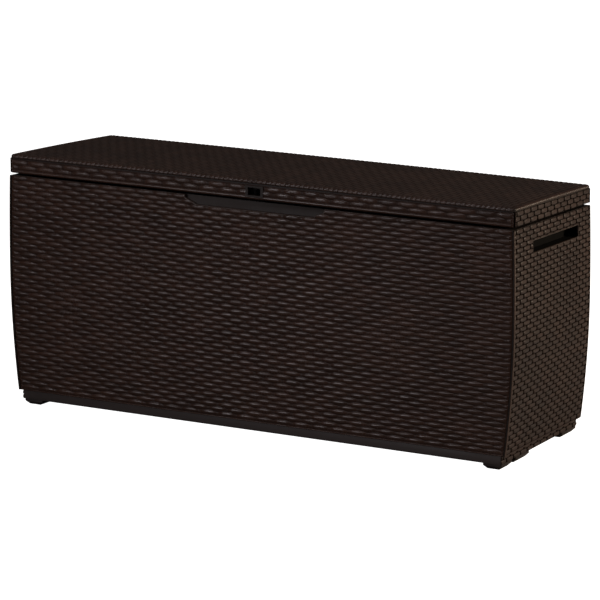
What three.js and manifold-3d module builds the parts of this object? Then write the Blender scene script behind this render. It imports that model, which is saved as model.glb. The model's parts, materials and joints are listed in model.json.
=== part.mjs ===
// Deck storage box with a resin-wicker skin: floor, four ribbed walls, two handle cups, a two-skin lid
// on three rear hinges, two slotted lid stays and a padlock eye. Millimetres, +Z up, the front faces -Y.
import * as THREE from "three";
import { mergeVertices } from "three/addons/utils/BufferGeometryUtils.js";
import Module from "manifold-3d";

const wasm = await Module();
wasm.setup();

// ---- Driving dimensions ----
const GAP = 0.3; // between pieces that touch
const OVER = 1; // how far a cutter runs past the face it opens

const BODY = {
  front: -267.5,
  back: 260,
  bottom: 34,
  top: 536,
  topHalfWidth: 615.1,
  bulge: 2.9,
  bulgeZ: 340,
  footHalfWidth: 599.5,
  skin: 4.5,
  chamfer: 4,
  curveSteps: 14,
};
const WALL = { depth: 15, rib: 4, rail: 9, sideInnerX: 582, columns: 10, rows: 4, sideRows: 5, cupCells: 4 };
const BASE = {
  halfWidth: 588,
  inset: 3,
  bottom: 14,
  slab: 6,
  skirt: 5,
  rib: 3,
  columns: 8,
  rows: 4,
  rimHeight: 20,
  rimThick: 3,
};
const FEET = { innerX: 544, outerX: 587.5, chamfer: 8, spans: [[-257, -189], [-164, -74], [158, 256.5]] };
const LID = {
  halfWidth: 616,
  front: -264,
  back: 257,
  bottom: 542,
  edgeZ: 584,
  crown: 3,
  wall: 5,
  ceiling: 579.5,
  corner: 12,
  edgeRound: 6,
  crownMargin: 2,
  crownStepsX: 12,
  crownStepsY: 8,
};
const LINER = {
  bottom: 561.7,
  plate: 3,
  rib: 3,
  columns: 8,
  rows: 4,
  top: 579.2,
  side: 5.3,
  front: -247,
  back: 243,
  lockClear: 2,
};
const RECESS = {
  topHalf: 169,
  lowHalf: 147,
  low: 515.5,
  floorY: -257,
  border: 5,
  cornerX: 6,
  cornerZ: 3,
  shoulderDrop: 8,
};
const SLOT = { y0: -145, y1: 170, z0: 473, z1: 499 };
const CUP = { wall: 2.5, overhangZ: 9, sillZ: 1.5, endY: 1.5, outerX: 611, innerX: 584.3 };
const HINGE = {
  x: [-420, 0, 420],
  y: 261,
  z: 539,
  barrel: 6.5,
  clear: 7.3,
  pin: 2,
  bore: 2.05,
  half: 30,
  mid: 10.5,
  leaf: 3.4,
  caseLow: 501,
  lidHigh: 575,
  screwX: 20,
  screwCaseZ: 516,
  screwLidZ: 562,
  blockSide: 8,
  bossSide: 6,
  bossDepth: 13,
  barrelEnd: 1.5,
  arm: 10,
  caseArmStart: 2.5,
  lidArmStart: 3.5,
  casePlateClear: 0.6,
  lidPlateClear: 1.2,
  caseHoleWall: 1.5,
  lidHoleDepth: 12,
};
const SCREW = {
  shank: 1.5,
  shankSegments: 16,
  hole: 1.8,
  length: 10,
  head: 3.5,
  headThick: 1.2,
  headSink: 0.5,
  driveDepth: 0.7,
  driveWide: 0.9,
};
const STAY = {
  radius: 150,
  lidAngle: 4.6,
  caseAngle: 7.8,
  open: 95,
  stud: 4,
  slotHalf: 4.2,
  armX0: 574.4,
  armX1: 577.9,
  half: 9,
  endClear: 0.8,
  tip: 8,
  pin: 3,
  bore: 3.06,
  pinHole: 3.05,
  pinHead: 6,
  pinHeadThick: 1.6,
  pinHeadSink: 0.5,
  shaft: 4,
  shaftLength: 12,
  shaftHole: 14,
  shoulder: 11,
  shoulderThick: 2.5,
  cap: 7,
  capThick: 2.2,
  cheek: 4.5,
  cheekRound: 9,
  bracketHalf: 16,
  bracketInnerX: 540,
  bracketThick: 3,
};
const LOCK = {
  windowHalf: 17,
  windowLow: 548,
  windowHigh: 569,
  depth: 21,
  wall: 1.6,
  flange: 4.5,
  proud: 1,
  fin: 2.5,
  finFront: -257.5,
  finBack: -246.5,
  finTop: 563,
  finSink: 0.5,
  finClear: 2,
  eye: 3.4,
  eyeDrop: 6,
  plateHalf: 20,
  plateThick: 3,
  plateLow: 510,
  ledge: 2.5,
  ledgeBack: 2,
  screwX: 12,
  screwZ: 521,
  screwLength: 6,
  pilotDepth: 3.4,
};

const ROUND = 24; // segments round small cylinders
const LARGE_ROUND = 32;
const ARC_STEPS = 10; // segments in each arc of a drawn shape
const CORNER_STEPS = { plan: 5, edge: 4 };

// ---- Finishes ----
const RESIN = { color: 0x33221b, roughness: 0.5, metalness: 0 };
const RESIN_INNER = { color: 0x2a1d18, roughness: 0.6, metalness: 0 };
const RESIN_DARK = { color: 0x17120f, roughness: 0.6, metalness: 0 };
const STEEL = { color: 0x8d9094, roughness: 0.35, metalness: 1 };

const group = new THREE.Group();
group.name = "deck_storage_box";

// ---- Solid helpers ----

/** The manifold-3d solid of a closed three.js geometry. */
function solid(geometry) {
  const bare = geometry.clone();
  bare.deleteAttribute("normal");
  bare.deleteAttribute("uv");
  const merged = mergeVertices(bare, 1e-4);
  return new wasm.Manifold(
    new wasm.Mesh({
      numProp: 3,
      vertProperties: new Float32Array(merged.attributes.position.array),
      triVerts: new Uint32Array(merged.index.array),
    }),
  );
}

/** Adds solids together. */
function add(...solids) {
  return solids.flat().reduce((all, next) => all.add(next));
}

/** Takes each cutter from a body. */
function cut(body, ...cutters) {
  return cutters.flat().reduce((left, cutter) => left.subtract(cutter), body);
}

/** Adds one solid to the group as its own named mesh. */
function piece(name, made, finish) {
  const raw = made.getMesh();
  const geometry = new THREE.BufferGeometry();
  geometry.setAttribute("position", new THREE.BufferAttribute(new Float32Array(raw.vertProperties), 3));
  geometry.setIndex(new THREE.BufferAttribute(new Uint32Array(raw.triVerts), 1));
  geometry.computeVertexNormals();
  const mesh = new THREE.Mesh(geometry, new THREE.MeshStandardMaterial(finish));
  mesh.name = name;
  group.add(mesh);
}

/** A box between two corners; each range may be given in either order. */
function box(xa, xb, ya, yb, za, zb) {
  const geometry = new THREE.BoxGeometry(Math.abs(xb - xa), Math.abs(yb - ya), Math.abs(zb - za));
  return solid(geometry.translate((xa + xb) / 2, (ya + yb) / 2, (za + zb) / 2));
}

/** A foot block: upright sides, then a 45 degree chamfer down to its lower face. */
function pad(xa, xb, ya, yb, za, zb, chamfer) {
  const width = Math.abs(xb - xa);
  const depth = Math.abs(yb - ya);
  const height = zb - za;
  const geometry = new THREE.BoxGeometry(width, depth, height, 1, 1, 2);
  const position = geometry.attributes.position;
  for (let i = 0; i < position.count; i += 1) {
    const level = Math.round((2 * position.getZ(i)) / height);
    if (level === 0) position.setZ(i, chamfer - height / 2);
    if (level < 0) position.setX(i, position.getX(i) * (1 - (2 * chamfer) / width));
    if (level < 0) position.setY(i, position.getY(i) * (1 - (2 * chamfer) / depth));
  }
  return solid(geometry.translate((xa + xb) / 2, (ya + yb) / 2, (za + zb) / 2));
}

/** A cylinder along X between two planes. */
function rodX(radius, xa, xb, y, z, segments = ROUND) {
  const geometry = new THREE.CylinderGeometry(radius, radius, Math.abs(xb - xa), segments);
  return solid(geometry.rotateZ(Math.PI / 2).translate((xa + xb) / 2, y, z));
}

/** A cylinder along Y between two planes. */
function rodY(radius, ya, yb, x, z, segments = ROUND) {
  const geometry = new THREE.CylinderGeometry(radius, radius, Math.abs(yb - ya), segments);
  return solid(geometry.translate(x, (ya + yb) / 2, z));
}

/** An outline of [x, z] points carried along Y. */
function prismY(points, ya, yb) {
  const shape = new THREE.Shape(points.map(([x, z]) => new THREE.Vector2(x, z)));
  const geometry = new THREE.ExtrudeGeometry(shape, { depth: yb - ya, bevelEnabled: false, steps: 1 });
  return solid(geometry.rotateX(Math.PI / 2).translate(0, yb, 0));
}

/** A shape drawn in the YZ plane carried along X. */
function prismX(shape, xa, xb) {
  const depth = Math.abs(xb - xa);
  const geometry = new THREE.ExtrudeGeometry(shape, { depth, bevelEnabled: false, curveSegments: ARC_STEPS });
  const turn = new THREE.Matrix4().makeBasis(
    new THREE.Vector3(0, 1, 0),
    new THREE.Vector3(0, 0, 1),
    new THREE.Vector3(1, 0, 0),
  );
  return solid(geometry.applyMatrix4(turn).translate(Math.min(xa, xb), 0, 0));
}

/** Cell ranges between dividers of one thickness, spread evenly from start to end. */
function cells(start, end, count, divider) {
  const size = (end - start - divider * (count - 1)) / count;
  return Array.from({ length: count }, (_, i) => {
    const low = start + i * (size + divider);
    return [low, low + size];
  });
}

/** Every pair of one column range and one row range. */
function grid(columns, rows) {
  return columns.flatMap((column) => rows.map((row) => ({ column, row })));
}

// ---- Body outline ----

/** Half width of the body at a height: it bulges a little, then draws in towards the floor. */
function sideX(z) {
  const widest = BODY.topHalfWidth + BODY.bulge;
  const rise = z - BODY.bulgeZ;
  const span = rise > 0 ? BODY.top - BODY.bulgeZ : BODY.bulgeZ - BODY.bottom;
  const drop = rise > 0 ? BODY.bulge : widest - BODY.footHalfWidth;
  return widest - drop * (rise / span) ** 2;
}

/** Points up the side curve, drawn in by an inset, between two heights. */
function sideCurve(inset, low, high) {
  return Array.from({ length: BODY.curveSteps + 1 }, (_, i) => {
    const z = low + ((high - low) * i) / BODY.curveSteps;
    return [sideX(z) - inset, z];
  });
}

/** The outline of a front or back wall, which stands between the side skins. */
function wallOutline(inset, low, high) {
  const right = sideCurve(inset, low, high);
  const left = right.map(([x, z]) => [-x, z]).reverse();
  return [...right, ...left];
}

// ---- Floor ----

function makeBase() {
  const y0 = BODY.front + BASE.inset;
  const y1 = BODY.back - BASE.inset;
  const top = BODY.bottom - GAP;
  const slabLow = top - BASE.slab;
  const tray = box(-BASE.halfWidth, BASE.halfWidth, y0, y1, BASE.bottom, top);
  const cellX = BASE.halfWidth - BASE.skirt;
  const columns = cells(-cellX, cellX, BASE.columns, BASE.rib);
  const rows = cells(y0 + BASE.skirt, y1 - BASE.skirt, BASE.rows, BASE.rib);
  const pockets = grid(columns, rows).map(({ column, row }) =>
    box(...column, ...row, BASE.bottom - OVER, slabLow),
  );
  const rimX = WALL.sideInnerX - GAP;
  const rimY0 = BODY.front + WALL.depth + GAP;
  const rimY1 = BODY.back - WALL.depth - GAP;
  const rimTop = top + BASE.rimHeight;
  const rim = cut(
    box(-rimX, rimX, rimY0, rimY1, top - OVER, rimTop),
    box(
      -rimX + BASE.rimThick,
      rimX - BASE.rimThick,
      rimY0 + BASE.rimThick,
      rimY1 - BASE.rimThick,
      top - 2 * OVER,
      rimTop + OVER,
    ),
  );
  const feet = [-1, 1].flatMap((side) =>
    FEET.spans.map(([ya, yb]) =>
      pad(side * FEET.innerX, side * FEET.outerX, ya, yb, 0, slabLow + OVER, FEET.chamfer),
    ),
  );
  piece("base_panel", add(cut(tray, pockets), rim, feet), RESIN_INNER);
}

// ---- Walls ----

/** A front or back wall: a flat skin with a grid of ribs on its inner side. */
function ribbedWall(outerY, innerSign, blocks) {
  const inset = BODY.skin + GAP;
  const innerY = outerY + innerSign * WALL.depth;
  const skinY = outerY + innerSign * BODY.skin;
  const [ya, yb] = [Math.min(outerY, innerY), Math.max(outerY, innerY)];
  const slab = prismY(wallOutline(inset, BODY.bottom, BODY.top), ya, yb);
  const halfWidth = BODY.footHalfWidth - inset - WALL.rail;
  const columns = cells(-halfWidth, halfWidth, WALL.columns, WALL.rib);
  const rows = cells(BODY.bottom + WALL.rail, BODY.top - WALL.rail, WALL.rows, WALL.rib);
  const pockets = grid(columns, rows).map(({ column, row }) =>
    box(...column, skinY, innerY + innerSign * OVER, ...row),
  );
  return add(cut(slab, pockets), blocks);
}

/** The trapezoid finger recess at the top of the front wall, grown by a border. */
function recessOutline(border, top) {
  const low = RECESS.low - border;
  const shoulder = BODY.top - RECESS.shoulderDrop;
  const right = [
    [RECESS.lowHalf + border - RECESS.cornerX, low],
    [RECESS.lowHalf + border, low + RECESS.cornerZ],
    [RECESS.topHalf + border, shoulder],
    [RECESS.topHalf + border, top],
  ];
  const left = right.map(([x, z]) => [-x, z]).reverse();
  return [...right, ...left];
}

function makeFrontWall() {
  const innerY = BODY.front + WALL.depth;
  const recessWall = prismY(recessOutline(RECESS.border, BODY.top), BODY.front + BODY.skin - OVER, innerY);
  const wall = ribbedWall(BODY.front, 1, [recessWall]);
  const recess = prismY(recessOutline(0, BODY.top + OVER), BODY.front - OVER, RECESS.floorY);
  piece("front_panel", cut(wall, recess, lockScrewHoles()), RESIN);
}

function makeBackWall() {
  const innerY = BODY.back - WALL.depth;
  const reach = HINGE.half + HINGE.blockSide;
  const low = HINGE.caseLow - HINGE.blockSide;
  const blocks = HINGE.x.map((x) => box(x - reach, x + reach, innerY, BODY.back - OVER, low, BODY.top));
  const wall = ribbedWall(BODY.back, -1, blocks);
  piece("back_panel", cut(wall, HINGE.x.flatMap(casePockets)), RESIN);
}

/** A side wall: a curved skin with ribs that end on one flat inner plane. */
function makeSideWall(side, name) {
  const high = BODY.top - BODY.chamfer;
  const outer = [...sideCurve(0, BODY.bottom, high), [sideX(high) - BODY.chamfer, BODY.top]];
  const inner = sideCurve(BODY.skin, BODY.bottom, BODY.top).reverse();
  const mirrored = (points) => points.map(([x, z]) => [side * x, z]);
  const skin = prismY(mirrored([...outer, ...inner]), BODY.front, BODY.back);
  const y0 = BODY.front + WALL.depth + GAP;
  const y1 = BODY.back - WALL.depth - GAP;
  const core = prismY(
    mirrored([
      ...sideCurve(BODY.skin - OVER, BODY.bottom, BODY.top - OVER),
      [WALL.sideInnerX, BODY.top],
      [WALL.sideInnerX, BODY.bottom],
    ]),
    y0,
    y1,
  );
  const hollow = mirrored([
    ...sideCurve(BODY.skin, BODY.bottom, BODY.top),
    [WALL.sideInnerX - OVER, BODY.top],
    [WALL.sideInnerX - OVER, BODY.bottom],
  ]);
  const [xa, xb] = [side * (WALL.sideInnerX - OVER), side * (BODY.topHalfWidth + 2 * BODY.bulge)];
  const cupLow = SLOT.z0 - CUP.sillZ - CUP.wall - GAP;
  const cupHigh = SLOT.z1 + CUP.overhangZ + CUP.wall + GAP;
  const cupY0 = SLOT.y0 - CUP.endY - CUP.wall - GAP;
  const cupY1 = SLOT.y1 + CUP.endY + CUP.wall + GAP;
  const columns = [
    [y0 + WALL.rib, cupY0 - WALL.rib],
    ...cells(cupY0, cupY1, WALL.cupCells, WALL.rib),
    [cupY1 + WALL.rib, y1 - WALL.rib],
  ];
  const lowRows = cells(BODY.bottom + WALL.rail, cupLow - WALL.rib, WALL.sideRows, WALL.rib);
  const [first, last] = [columns[0], columns.at(-1)];
  const openings = [
    ...grid(columns, lowRows),
    ...grid([first, [cupY0, cupY1], last], [[cupLow, cupHigh]]),
    ...grid([first, columns[1], columns[2], last], [[cupHigh + WALL.rib, BODY.top - WALL.rib]]),
  ].map(({ column, row }) => box(xa, xb, ...column, ...row));
  const pockets = add(openings).intersect(prismY(hollow, y0, y1));
  const slot = box(xa, xb, SLOT.y0, SLOT.y1, SLOT.z0, SLOT.z1);
  const holeX = [side * (WALL.sideInnerX - OVER), side * (WALL.sideInnerX + STAY.shaftHole)];
  const studHole = rodX(STAY.shaft, ...holeX, ...stayStudPoint());
  piece(name, cut(add(skin, core), pockets, slot, studHole), RESIN);
}

/** The cup behind a handle slot: closed at its back, taller inside than the slot for the fingers. */
function makeHandleCup(side, name) {
  const low = SLOT.z0 - CUP.sillZ;
  const high = SLOT.z1 + CUP.overhangZ;
  const y0 = SLOT.y0 - CUP.endY;
  const y1 = SLOT.y1 + CUP.endY;
  const shell = box(
    side * CUP.innerX,
    side * CUP.outerX,
    y0 - CUP.wall,
    y1 + CUP.wall,
    low - CUP.wall,
    high + CUP.wall,
  );
  const hollow = box(side * (CUP.innerX + CUP.wall), side * (CUP.outerX + OVER), y0, y1, low, high);
  piece(name, cut(shell, hollow), RESIN_DARK);
}

// ---- Lid ----

/** A block with rounded plan corners and a rounded upper edge, carried well below its top. */
function roundedCap(top) {
  const { halfWidth, front, back, corner, edgeRound } = LID;
  const [x, y0, y1, r] = [halfWidth - edgeRound, front + edgeRound, back - edgeRound, corner - edgeRound];
  const shape = new THREE.Shape();
  shape.moveTo(-x + r, y0);
  shape.absarc(x - r, y0 + r, r, -Math.PI / 2, 0, false);
  shape.absarc(x - r, y1 - r, r, 0, Math.PI / 2, false);
  shape.absarc(-x + r, y1 - r, r, Math.PI / 2, Math.PI, false);
  shape.absarc(-x + r, y0 + r, r, Math.PI, Math.PI * 1.5, false);
  const depth = 2 * (top - LID.bottom);
  const geometry = new THREE.ExtrudeGeometry(shape, {
    depth: depth - 2 * edgeRound,
    bevelThickness: edgeRound,
    bevelSize: edgeRound,
    bevelSegments: CORNER_STEPS.edge,
    curveSegments: CORNER_STEPS.plan,
  });
  return solid(geometry.translate(0, 0, top - depth + edgeRound));
}

/** A slab whose upper face is crowned along both directions. */
function crownedSlab() {
  const width = 2 * (LID.halfWidth + LID.crownMargin);
  const depth = LID.back - LID.front + 2 * LID.crownMargin;
  const height = LID.edgeZ - LID.bottom;
  const geometry = new THREE.BoxGeometry(width, depth, height, LID.crownStepsX, LID.crownStepsY);
  const position = geometry.attributes.position;
  for (let i = 0; i < position.count; i += 1) {
    if (position.getZ(i) < 0) continue;
    const acrossX = 1 - ((2 * position.getX(i)) / width) ** 2;
    const acrossY = 1 - ((2 * position.getY(i)) / depth) ** 2;
    position.setZ(i, position.getZ(i) + (LID.crown * (acrossX + acrossY)) / 2);
  }
  return solid(geometry.translate(0, (LID.front + LID.back) / 2, LID.bottom + height / 2));
}

function makeLidShell() {
  const outer = crownedSlab().intersect(roundedCap(LID.edgeZ + LID.crown));
  const inner = box(
    -LID.halfWidth + LID.wall,
    LID.halfWidth - LID.wall,
    LID.front + LID.wall,
    LID.back - LID.wall,
    LID.bottom - OVER,
    LID.ceiling,
  );
  const reach = HINGE.half + HINGE.bossSide;
  const bossY = [LID.back - HINGE.bossDepth, LID.back - LID.wall + OVER];
  const bosses = HINGE.x.map((x) => box(x - reach, x + reach, ...bossY, LID.bottom, LID.ceiling + OVER));
  const window = box(
    -LOCK.windowHalf - GAP,
    LOCK.windowHalf + GAP,
    LID.front - OVER,
    LID.front + LID.wall + OVER,
    LOCK.windowLow - GAP,
    LOCK.windowHigh + GAP,
  );
  const seat = box(
    -LOCK.windowHalf - LOCK.flange - GAP,
    LOCK.windowHalf + LOCK.flange + GAP,
    LID.front - OVER,
    LID.front + LOCK.proud,
    LOCK.windowLow - LOCK.flange / 2 - GAP,
    LOCK.windowHigh + LOCK.flange / 2 + GAP,
  );
  const shell = add(cut(outer, inner), bosses);
  piece("lid_shell", cut(shell, window, seat, HINGE.x.flatMap(lidPockets)), RESIN);
}

function makeLidLiner() {
  const halfWidth = LID.halfWidth - LINER.side;
  const slab = box(-halfWidth, halfWidth, LINER.front, LINER.back, LINER.bottom, LINER.top);
  const columns = cells(-halfWidth + LINER.rib, halfWidth - LINER.rib, LINER.columns, LINER.rib);
  const rows = cells(LINER.front + LINER.rib, LINER.back - LINER.rib, LINER.rows, LINER.rib);
  const pockets = grid(columns, rows).map(({ column, row }) =>
    box(...column, ...row, LINER.bottom + LINER.plate, LINER.top + OVER),
  );
  const lockNotch = box(
    -LOCK.windowHalf - LINER.lockClear,
    LOCK.windowHalf + LINER.lockClear,
    LINER.front - OVER,
    LID.front + LOCK.depth + LINER.lockClear,
    LINER.bottom - OVER,
    LINER.top + OVER,
  );
  piece("lid_liner", cut(slab, pockets, lockNotch), RESIN_INNER);
}

// ---- Lock ----

/** Centres of the two screws that hold the padlock eye, as [x, z]. */
function lockScrewPoints() {
  return [-LOCK.screwX, LOCK.screwX].map((x) => [x, LOCK.screwZ]);
}

function lockScrewHoles() {
  const innerY = BODY.front + WALL.depth;
  return lockScrewPoints().map(([x, z]) => rodY(SCREW.hole, innerY - LOCK.pilotDepth, innerY + OVER, x, z));
}

/** The padlock eye: a plate behind the finger recess, and a drilled fin that stands up through the lid. */
function makeLockEye() {
  const { plateHalf, fin: finHalf, finFront, finBack, finTop } = LOCK;
  const plateY0 = BODY.front + WALL.depth + GAP;
  const plateY1 = plateY0 + LOCK.plateThick;
  const foot = BODY.top + GAP;
  const plate = box(-plateHalf, plateHalf, plateY0, plateY1, LOCK.plateLow, foot + LOCK.ledge);
  const ledge = box(-plateHalf, plateHalf, finFront + LOCK.ledgeBack, plateY1, foot, foot + LOCK.ledge);
  const fin = box(-finHalf, finHalf, finFront, finBack, foot + LOCK.finSink, finTop);
  const eyeCentre = [(finFront + finBack) / 2, finTop - LOCK.eyeDrop];
  const eye = rodX(LOCK.eye, -finHalf - OVER, finHalf + OVER, ...eyeCentre);
  const holes = lockScrewPoints().map(([x, z]) => rodY(SCREW.hole, plateY0 - OVER, plateY1 + OVER, x, z));
  piece("lock_eye", cut(add(plate, ledge, fin), eye, holes), RESIN_DARK);
  lockScrewPoints().forEach(([x, z], i) => {
    piece(`lock_eye_screw_${i + 1}`, screw(x, plateY1, z, 1, LOCK.screwLength), STEEL);
  });
}

/** The escutcheon that lines the lock pocket in the lid's front skirt. */
function makeLockPocket() {
  const { windowHalf, windowLow, windowHigh, flange, wall, proud, depth } = LOCK;
  const y0 = LID.front;
  const body = box(-windowHalf, windowHalf, y0 + proud / 2, y0 + depth, windowLow, windowHigh);
  const rim = box(
    -windowHalf - flange,
    windowHalf + flange,
    y0 - proud,
    y0 + proud - GAP,
    windowLow - flange / 2,
    windowHigh + flange / 2,
  );
  const hollow = box(
    -windowHalf + wall,
    windowHalf - wall,
    y0 - proud - OVER,
    y0 + depth - wall,
    windowLow + wall,
    windowHigh - wall,
  );
  const finSlot = box(
    -LOCK.fin - LOCK.finClear,
    LOCK.fin + LOCK.finClear,
    y0 + LID.wall - GAP,
    y0 + depth - wall,
    windowLow - OVER,
    windowLow + wall + OVER,
  );
  piece("lock_pocket", cut(add(body, rim), hollow, finSlot), RESIN_DARK);
}

// ---- Hinges ----

/** A slotted pan-head screw along Y; its head stands on the face at y, on the side that sign points to. */
function screw(x, y, z, sign, length) {
  const headTop = y + sign * (GAP + SCREW.headThick);
  const shankTop = y + sign * (GAP + SCREW.headSink);
  const shank = rodY(SCREW.shank, shankTop, y - sign * length, x, z, SCREW.shankSegments);
  const head = rodY(SCREW.head, y + sign * GAP, headTop, x, z);
  const drive = box(
    x - SCREW.head - OVER,
    x + SCREW.head + OVER,
    headTop - sign * SCREW.driveDepth,
    headTop + sign * OVER,
    z - SCREW.driveWide / 2,
    z + SCREW.driveWide / 2,
  );
  return cut(add(shank, head), drive);
}

/** Room for a hinge: its barrel, and a leaf pocket in a face between two heights. */
function hingeRoom(x, face, low, high) {
  const barrelReach = HINGE.half + HINGE.barrelEnd;
  const leafReach = HINGE.half + GAP;
  const pocketFloor = face - HINGE.leaf - 2 * GAP;
  return [
    rodX(HINGE.clear, x - barrelReach, x + barrelReach, HINGE.y, HINGE.z, LARGE_ROUND),
    box(x - leafReach, x + leafReach, pocketFloor, face + OVER, low, high),
  ];
}

/** What one hinge takes out of the back wall: barrel room, the leaf's pocket and two screw holes. */
function casePockets(x) {
  const holeEnd = BODY.back - WALL.depth + HINGE.caseHoleWall;
  const holes = screwXs(x).map((sx) => rodY(SCREW.hole, holeEnd, BODY.back + OVER, sx, HINGE.screwCaseZ));
  return [...hingeRoom(x, BODY.back, HINGE.caseLow - GAP, BODY.top + OVER), ...holes];
}

/** What one hinge takes out of the lid's rear skirt. */
function lidPockets(x) {
  const holeEnd = LID.back - HINGE.lidHoleDepth;
  const holes = screwXs(x).map((sx) => rodY(SCREW.hole, holeEnd, LID.back + OVER, sx, HINGE.screwLidZ));
  return [...hingeRoom(x, LID.back, LID.bottom - OVER, HINGE.lidHigh + GAP), ...holes];
}

/** The two screw holes through a leaf whose outer face is at a depth. */
function leafHoles(x, face, z) {
  return screwXs(x).map((sx) => rodY(SCREW.hole, face - HINGE.leaf - OVER, face + OVER, sx, z));
}

/** The two screw positions of a hinge leaf. */
function screwXs(x) {
  return [x - HINGE.screwX, x + HINGE.screwX];
}

function makeHinge(x, index) {
  const { half, mid, barrel, leaf, arm, y, z } = HINGE;
  const caseY = [BODY.back - GAP - leaf, BODY.back - GAP];
  const lidY = [LID.back - GAP - leaf, LID.back - GAP];
  const bore = rodX(HINGE.bore, x - half - OVER, x + half + OVER, y, z);
  const wings = [-1, 1].flatMap((side) => {
    const span = [x + side * (mid + GAP), x + side * half];
    const wing = box(...span, ...caseY, z - arm, z - HINGE.caseArmStart);
    return [rodX(barrel, ...span, y, z, LARGE_ROUND), wing];
  });
  const casePlate = box(x - half, x + half, ...caseY, HINGE.caseLow, z - barrel - HINGE.casePlateClear);
  const caseHoles = leafHoles(x, BODY.back - GAP, HINGE.screwCaseZ);
  piece(`hinge_case_leaf_${index}`, cut(add(casePlate, wings), bore, caseHoles), RESIN_DARK);

  const lidPlate = box(x - half, x + half, ...lidY, z + barrel + HINGE.lidPlateClear, HINGE.lidHigh);
  const tongue = box(x - mid, x + mid, ...lidY, z + HINGE.lidArmStart, z + arm);
  const knuckle = rodX(barrel, x - mid, x + mid, y, z, LARGE_ROUND);
  const lidHoles = leafHoles(x, LID.back - GAP, HINGE.screwLidZ);
  piece(`hinge_lid_leaf_${index}`, cut(add(lidPlate, tongue, knuckle), bore, lidHoles), RESIN_DARK);

  piece(`hinge_pin_${index}`, rodX(HINGE.pin, x - half, x + half, y, z), STEEL);
  screwXs(x).forEach((sx, i) => {
    const caseScrew = screw(sx, BODY.back - GAP, HINGE.screwCaseZ, 1, SCREW.length);
    const lidScrew = screw(sx, LID.back - GAP, HINGE.screwLidZ, 1, SCREW.length);
    piece(`hinge_case_screw_${index}_${i + 1}`, caseScrew, STEEL);
    piece(`hinge_lid_screw_${index}_${i + 1}`, lidScrew, STEEL);
  });
}

// ---- Lid stays ----
// The lid pivot and the wall stud are equally far from the hinge axis, so the chord between them turns at
// exactly half the lid's rate: a straight slot stays on the stud at every lid angle.

/** A point at the stay radius from the hinge axis, in front of it, at an angle above the horizontal. */
function stayPoint(degrees) {
  const angle = THREE.MathUtils.degToRad(degrees);
  return [HINGE.y - STAY.radius * Math.cos(angle), HINGE.z + STAY.radius * Math.sin(angle)];
}

function stayPivotPoint() {
  return stayPoint(STAY.lidAngle);
}

function stayStudPoint() {
  return stayPoint(-STAY.caseAngle);
}

/** Distance from the lid pivot to the wall stud when the lid stands at an angle. */
function chord(lidDegrees) {
  const angle = THREE.MathUtils.degToRad(STAY.lidAngle + STAY.caseAngle + lidDegrees);
  return 2 * STAY.radius * Math.sin(angle / 2);
}

/** A stadium round two points of a line, as a shape or a hole path. */
function stadium(Kind, origin, direction, start, end, radius) {
  const at = (distance) => [origin[0] + direction[0] * distance, origin[1] + direction[1] * distance];
  const heading = Math.atan2(direction[1], direction[0]);
  const outline = new Kind();
  const [startY, startZ] = at(start);
  const [endY, endZ] = at(end);
  outline.absarc(startY, startZ, radius, heading + Math.PI / 2, heading + Math.PI * 1.5, false);
  outline.absarc(endY, endZ, radius, heading - Math.PI / 2, heading + Math.PI / 2, false);
  outline.closePath();
  return outline;
}

function makeStay(side, label) {
  const pivot = stayPivotPoint();
  const stud = stayStudPoint();
  const closed = chord(0);
  const direction = [(stud[0] - pivot[0]) / closed, (stud[1] - pivot[1]) / closed];
  const slotStart = closed - STAY.endClear;
  const slotEnd = chord(STAY.open) + STAY.endClear;
  const outline = stadium(THREE.Shape, pivot, direction, 0, slotEnd + STAY.tip - STAY.slotHalf, STAY.half);
  outline.holes.push(stadium(THREE.Path, pivot, direction, slotStart, slotEnd, STAY.slotHalf));
  const armSpan = [side * STAY.armX0, side * STAY.armX1];
  const bore = rodX(STAY.bore, side * (STAY.armX0 - OVER), side * (STAY.armX1 + OVER), ...pivot);
  piece(`stay_arm_${label}`, cut(prismX(outline, ...armSpan), bore), RESIN_DARK);

  const innerFace = WALL.sideInnerX - GAP;
  const shoulder = innerFace - STAY.shoulderThick;
  const studTip = STAY.armX0 - GAP;
  const studBody = add(
    rodX(STAY.shoulder, side * shoulder, side * innerFace, ...stud, LARGE_ROUND),
    rodX(STAY.stud, side * studTip, side * (shoulder + OVER), ...stud),
    rodX(STAY.shaft - GAP, side * (innerFace - OVER), side * (innerFace + STAY.shaftLength), ...stud),
  );
  piece(`stay_stud_${label}`, studBody, RESIN_DARK);
  const cap = rodX(STAY.cap, side * (studTip - GAP - STAY.capThick), side * (studTip - GAP), ...stud);
  piece(`stay_stud_cap_${label}`, cap, RESIN_DARK);

  const cheekX = [side * (STAY.armX0 - GAP - STAY.cheek), side * (STAY.armX0 - GAP)];
  const bracketY = [pivot[0] - STAY.bracketHalf, pivot[0] + STAY.bracketHalf];
  const underLiner = LINER.bottom - GAP;
  const cheek = new THREE.Shape();
  cheek.absarc(...pivot, STAY.cheekRound, Math.PI, 0, false);
  cheek.lineTo(bracketY[1], underLiner);
  cheek.lineTo(bracketY[0], underLiner);
  cheek.closePath();
  const plateLow = underLiner - STAY.bracketThick;
  const plate = box(side * STAY.bracketInnerX, cheekX[1], ...bracketY, plateLow, underLiner);
  const pinHole = rodX(STAY.pinHole, cheekX[0] - side * OVER, cheekX[1] + side * OVER, ...pivot);
  piece(`stay_bracket_${label}`, cut(add(prismX(cheek, ...cheekX), plate), pinHole), RESIN_DARK);
  const headX = side * (STAY.armX1 + GAP);
  const pin = add(
    rodX(STAY.pin, cheekX[0], headX + side * STAY.pinHeadSink, ...pivot),
    rodX(STAY.pinHead, headX, headX + side * STAY.pinHeadThick, ...pivot),
  );
  piece(`stay_pin_${label}`, pin, STEEL);
}

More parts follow.
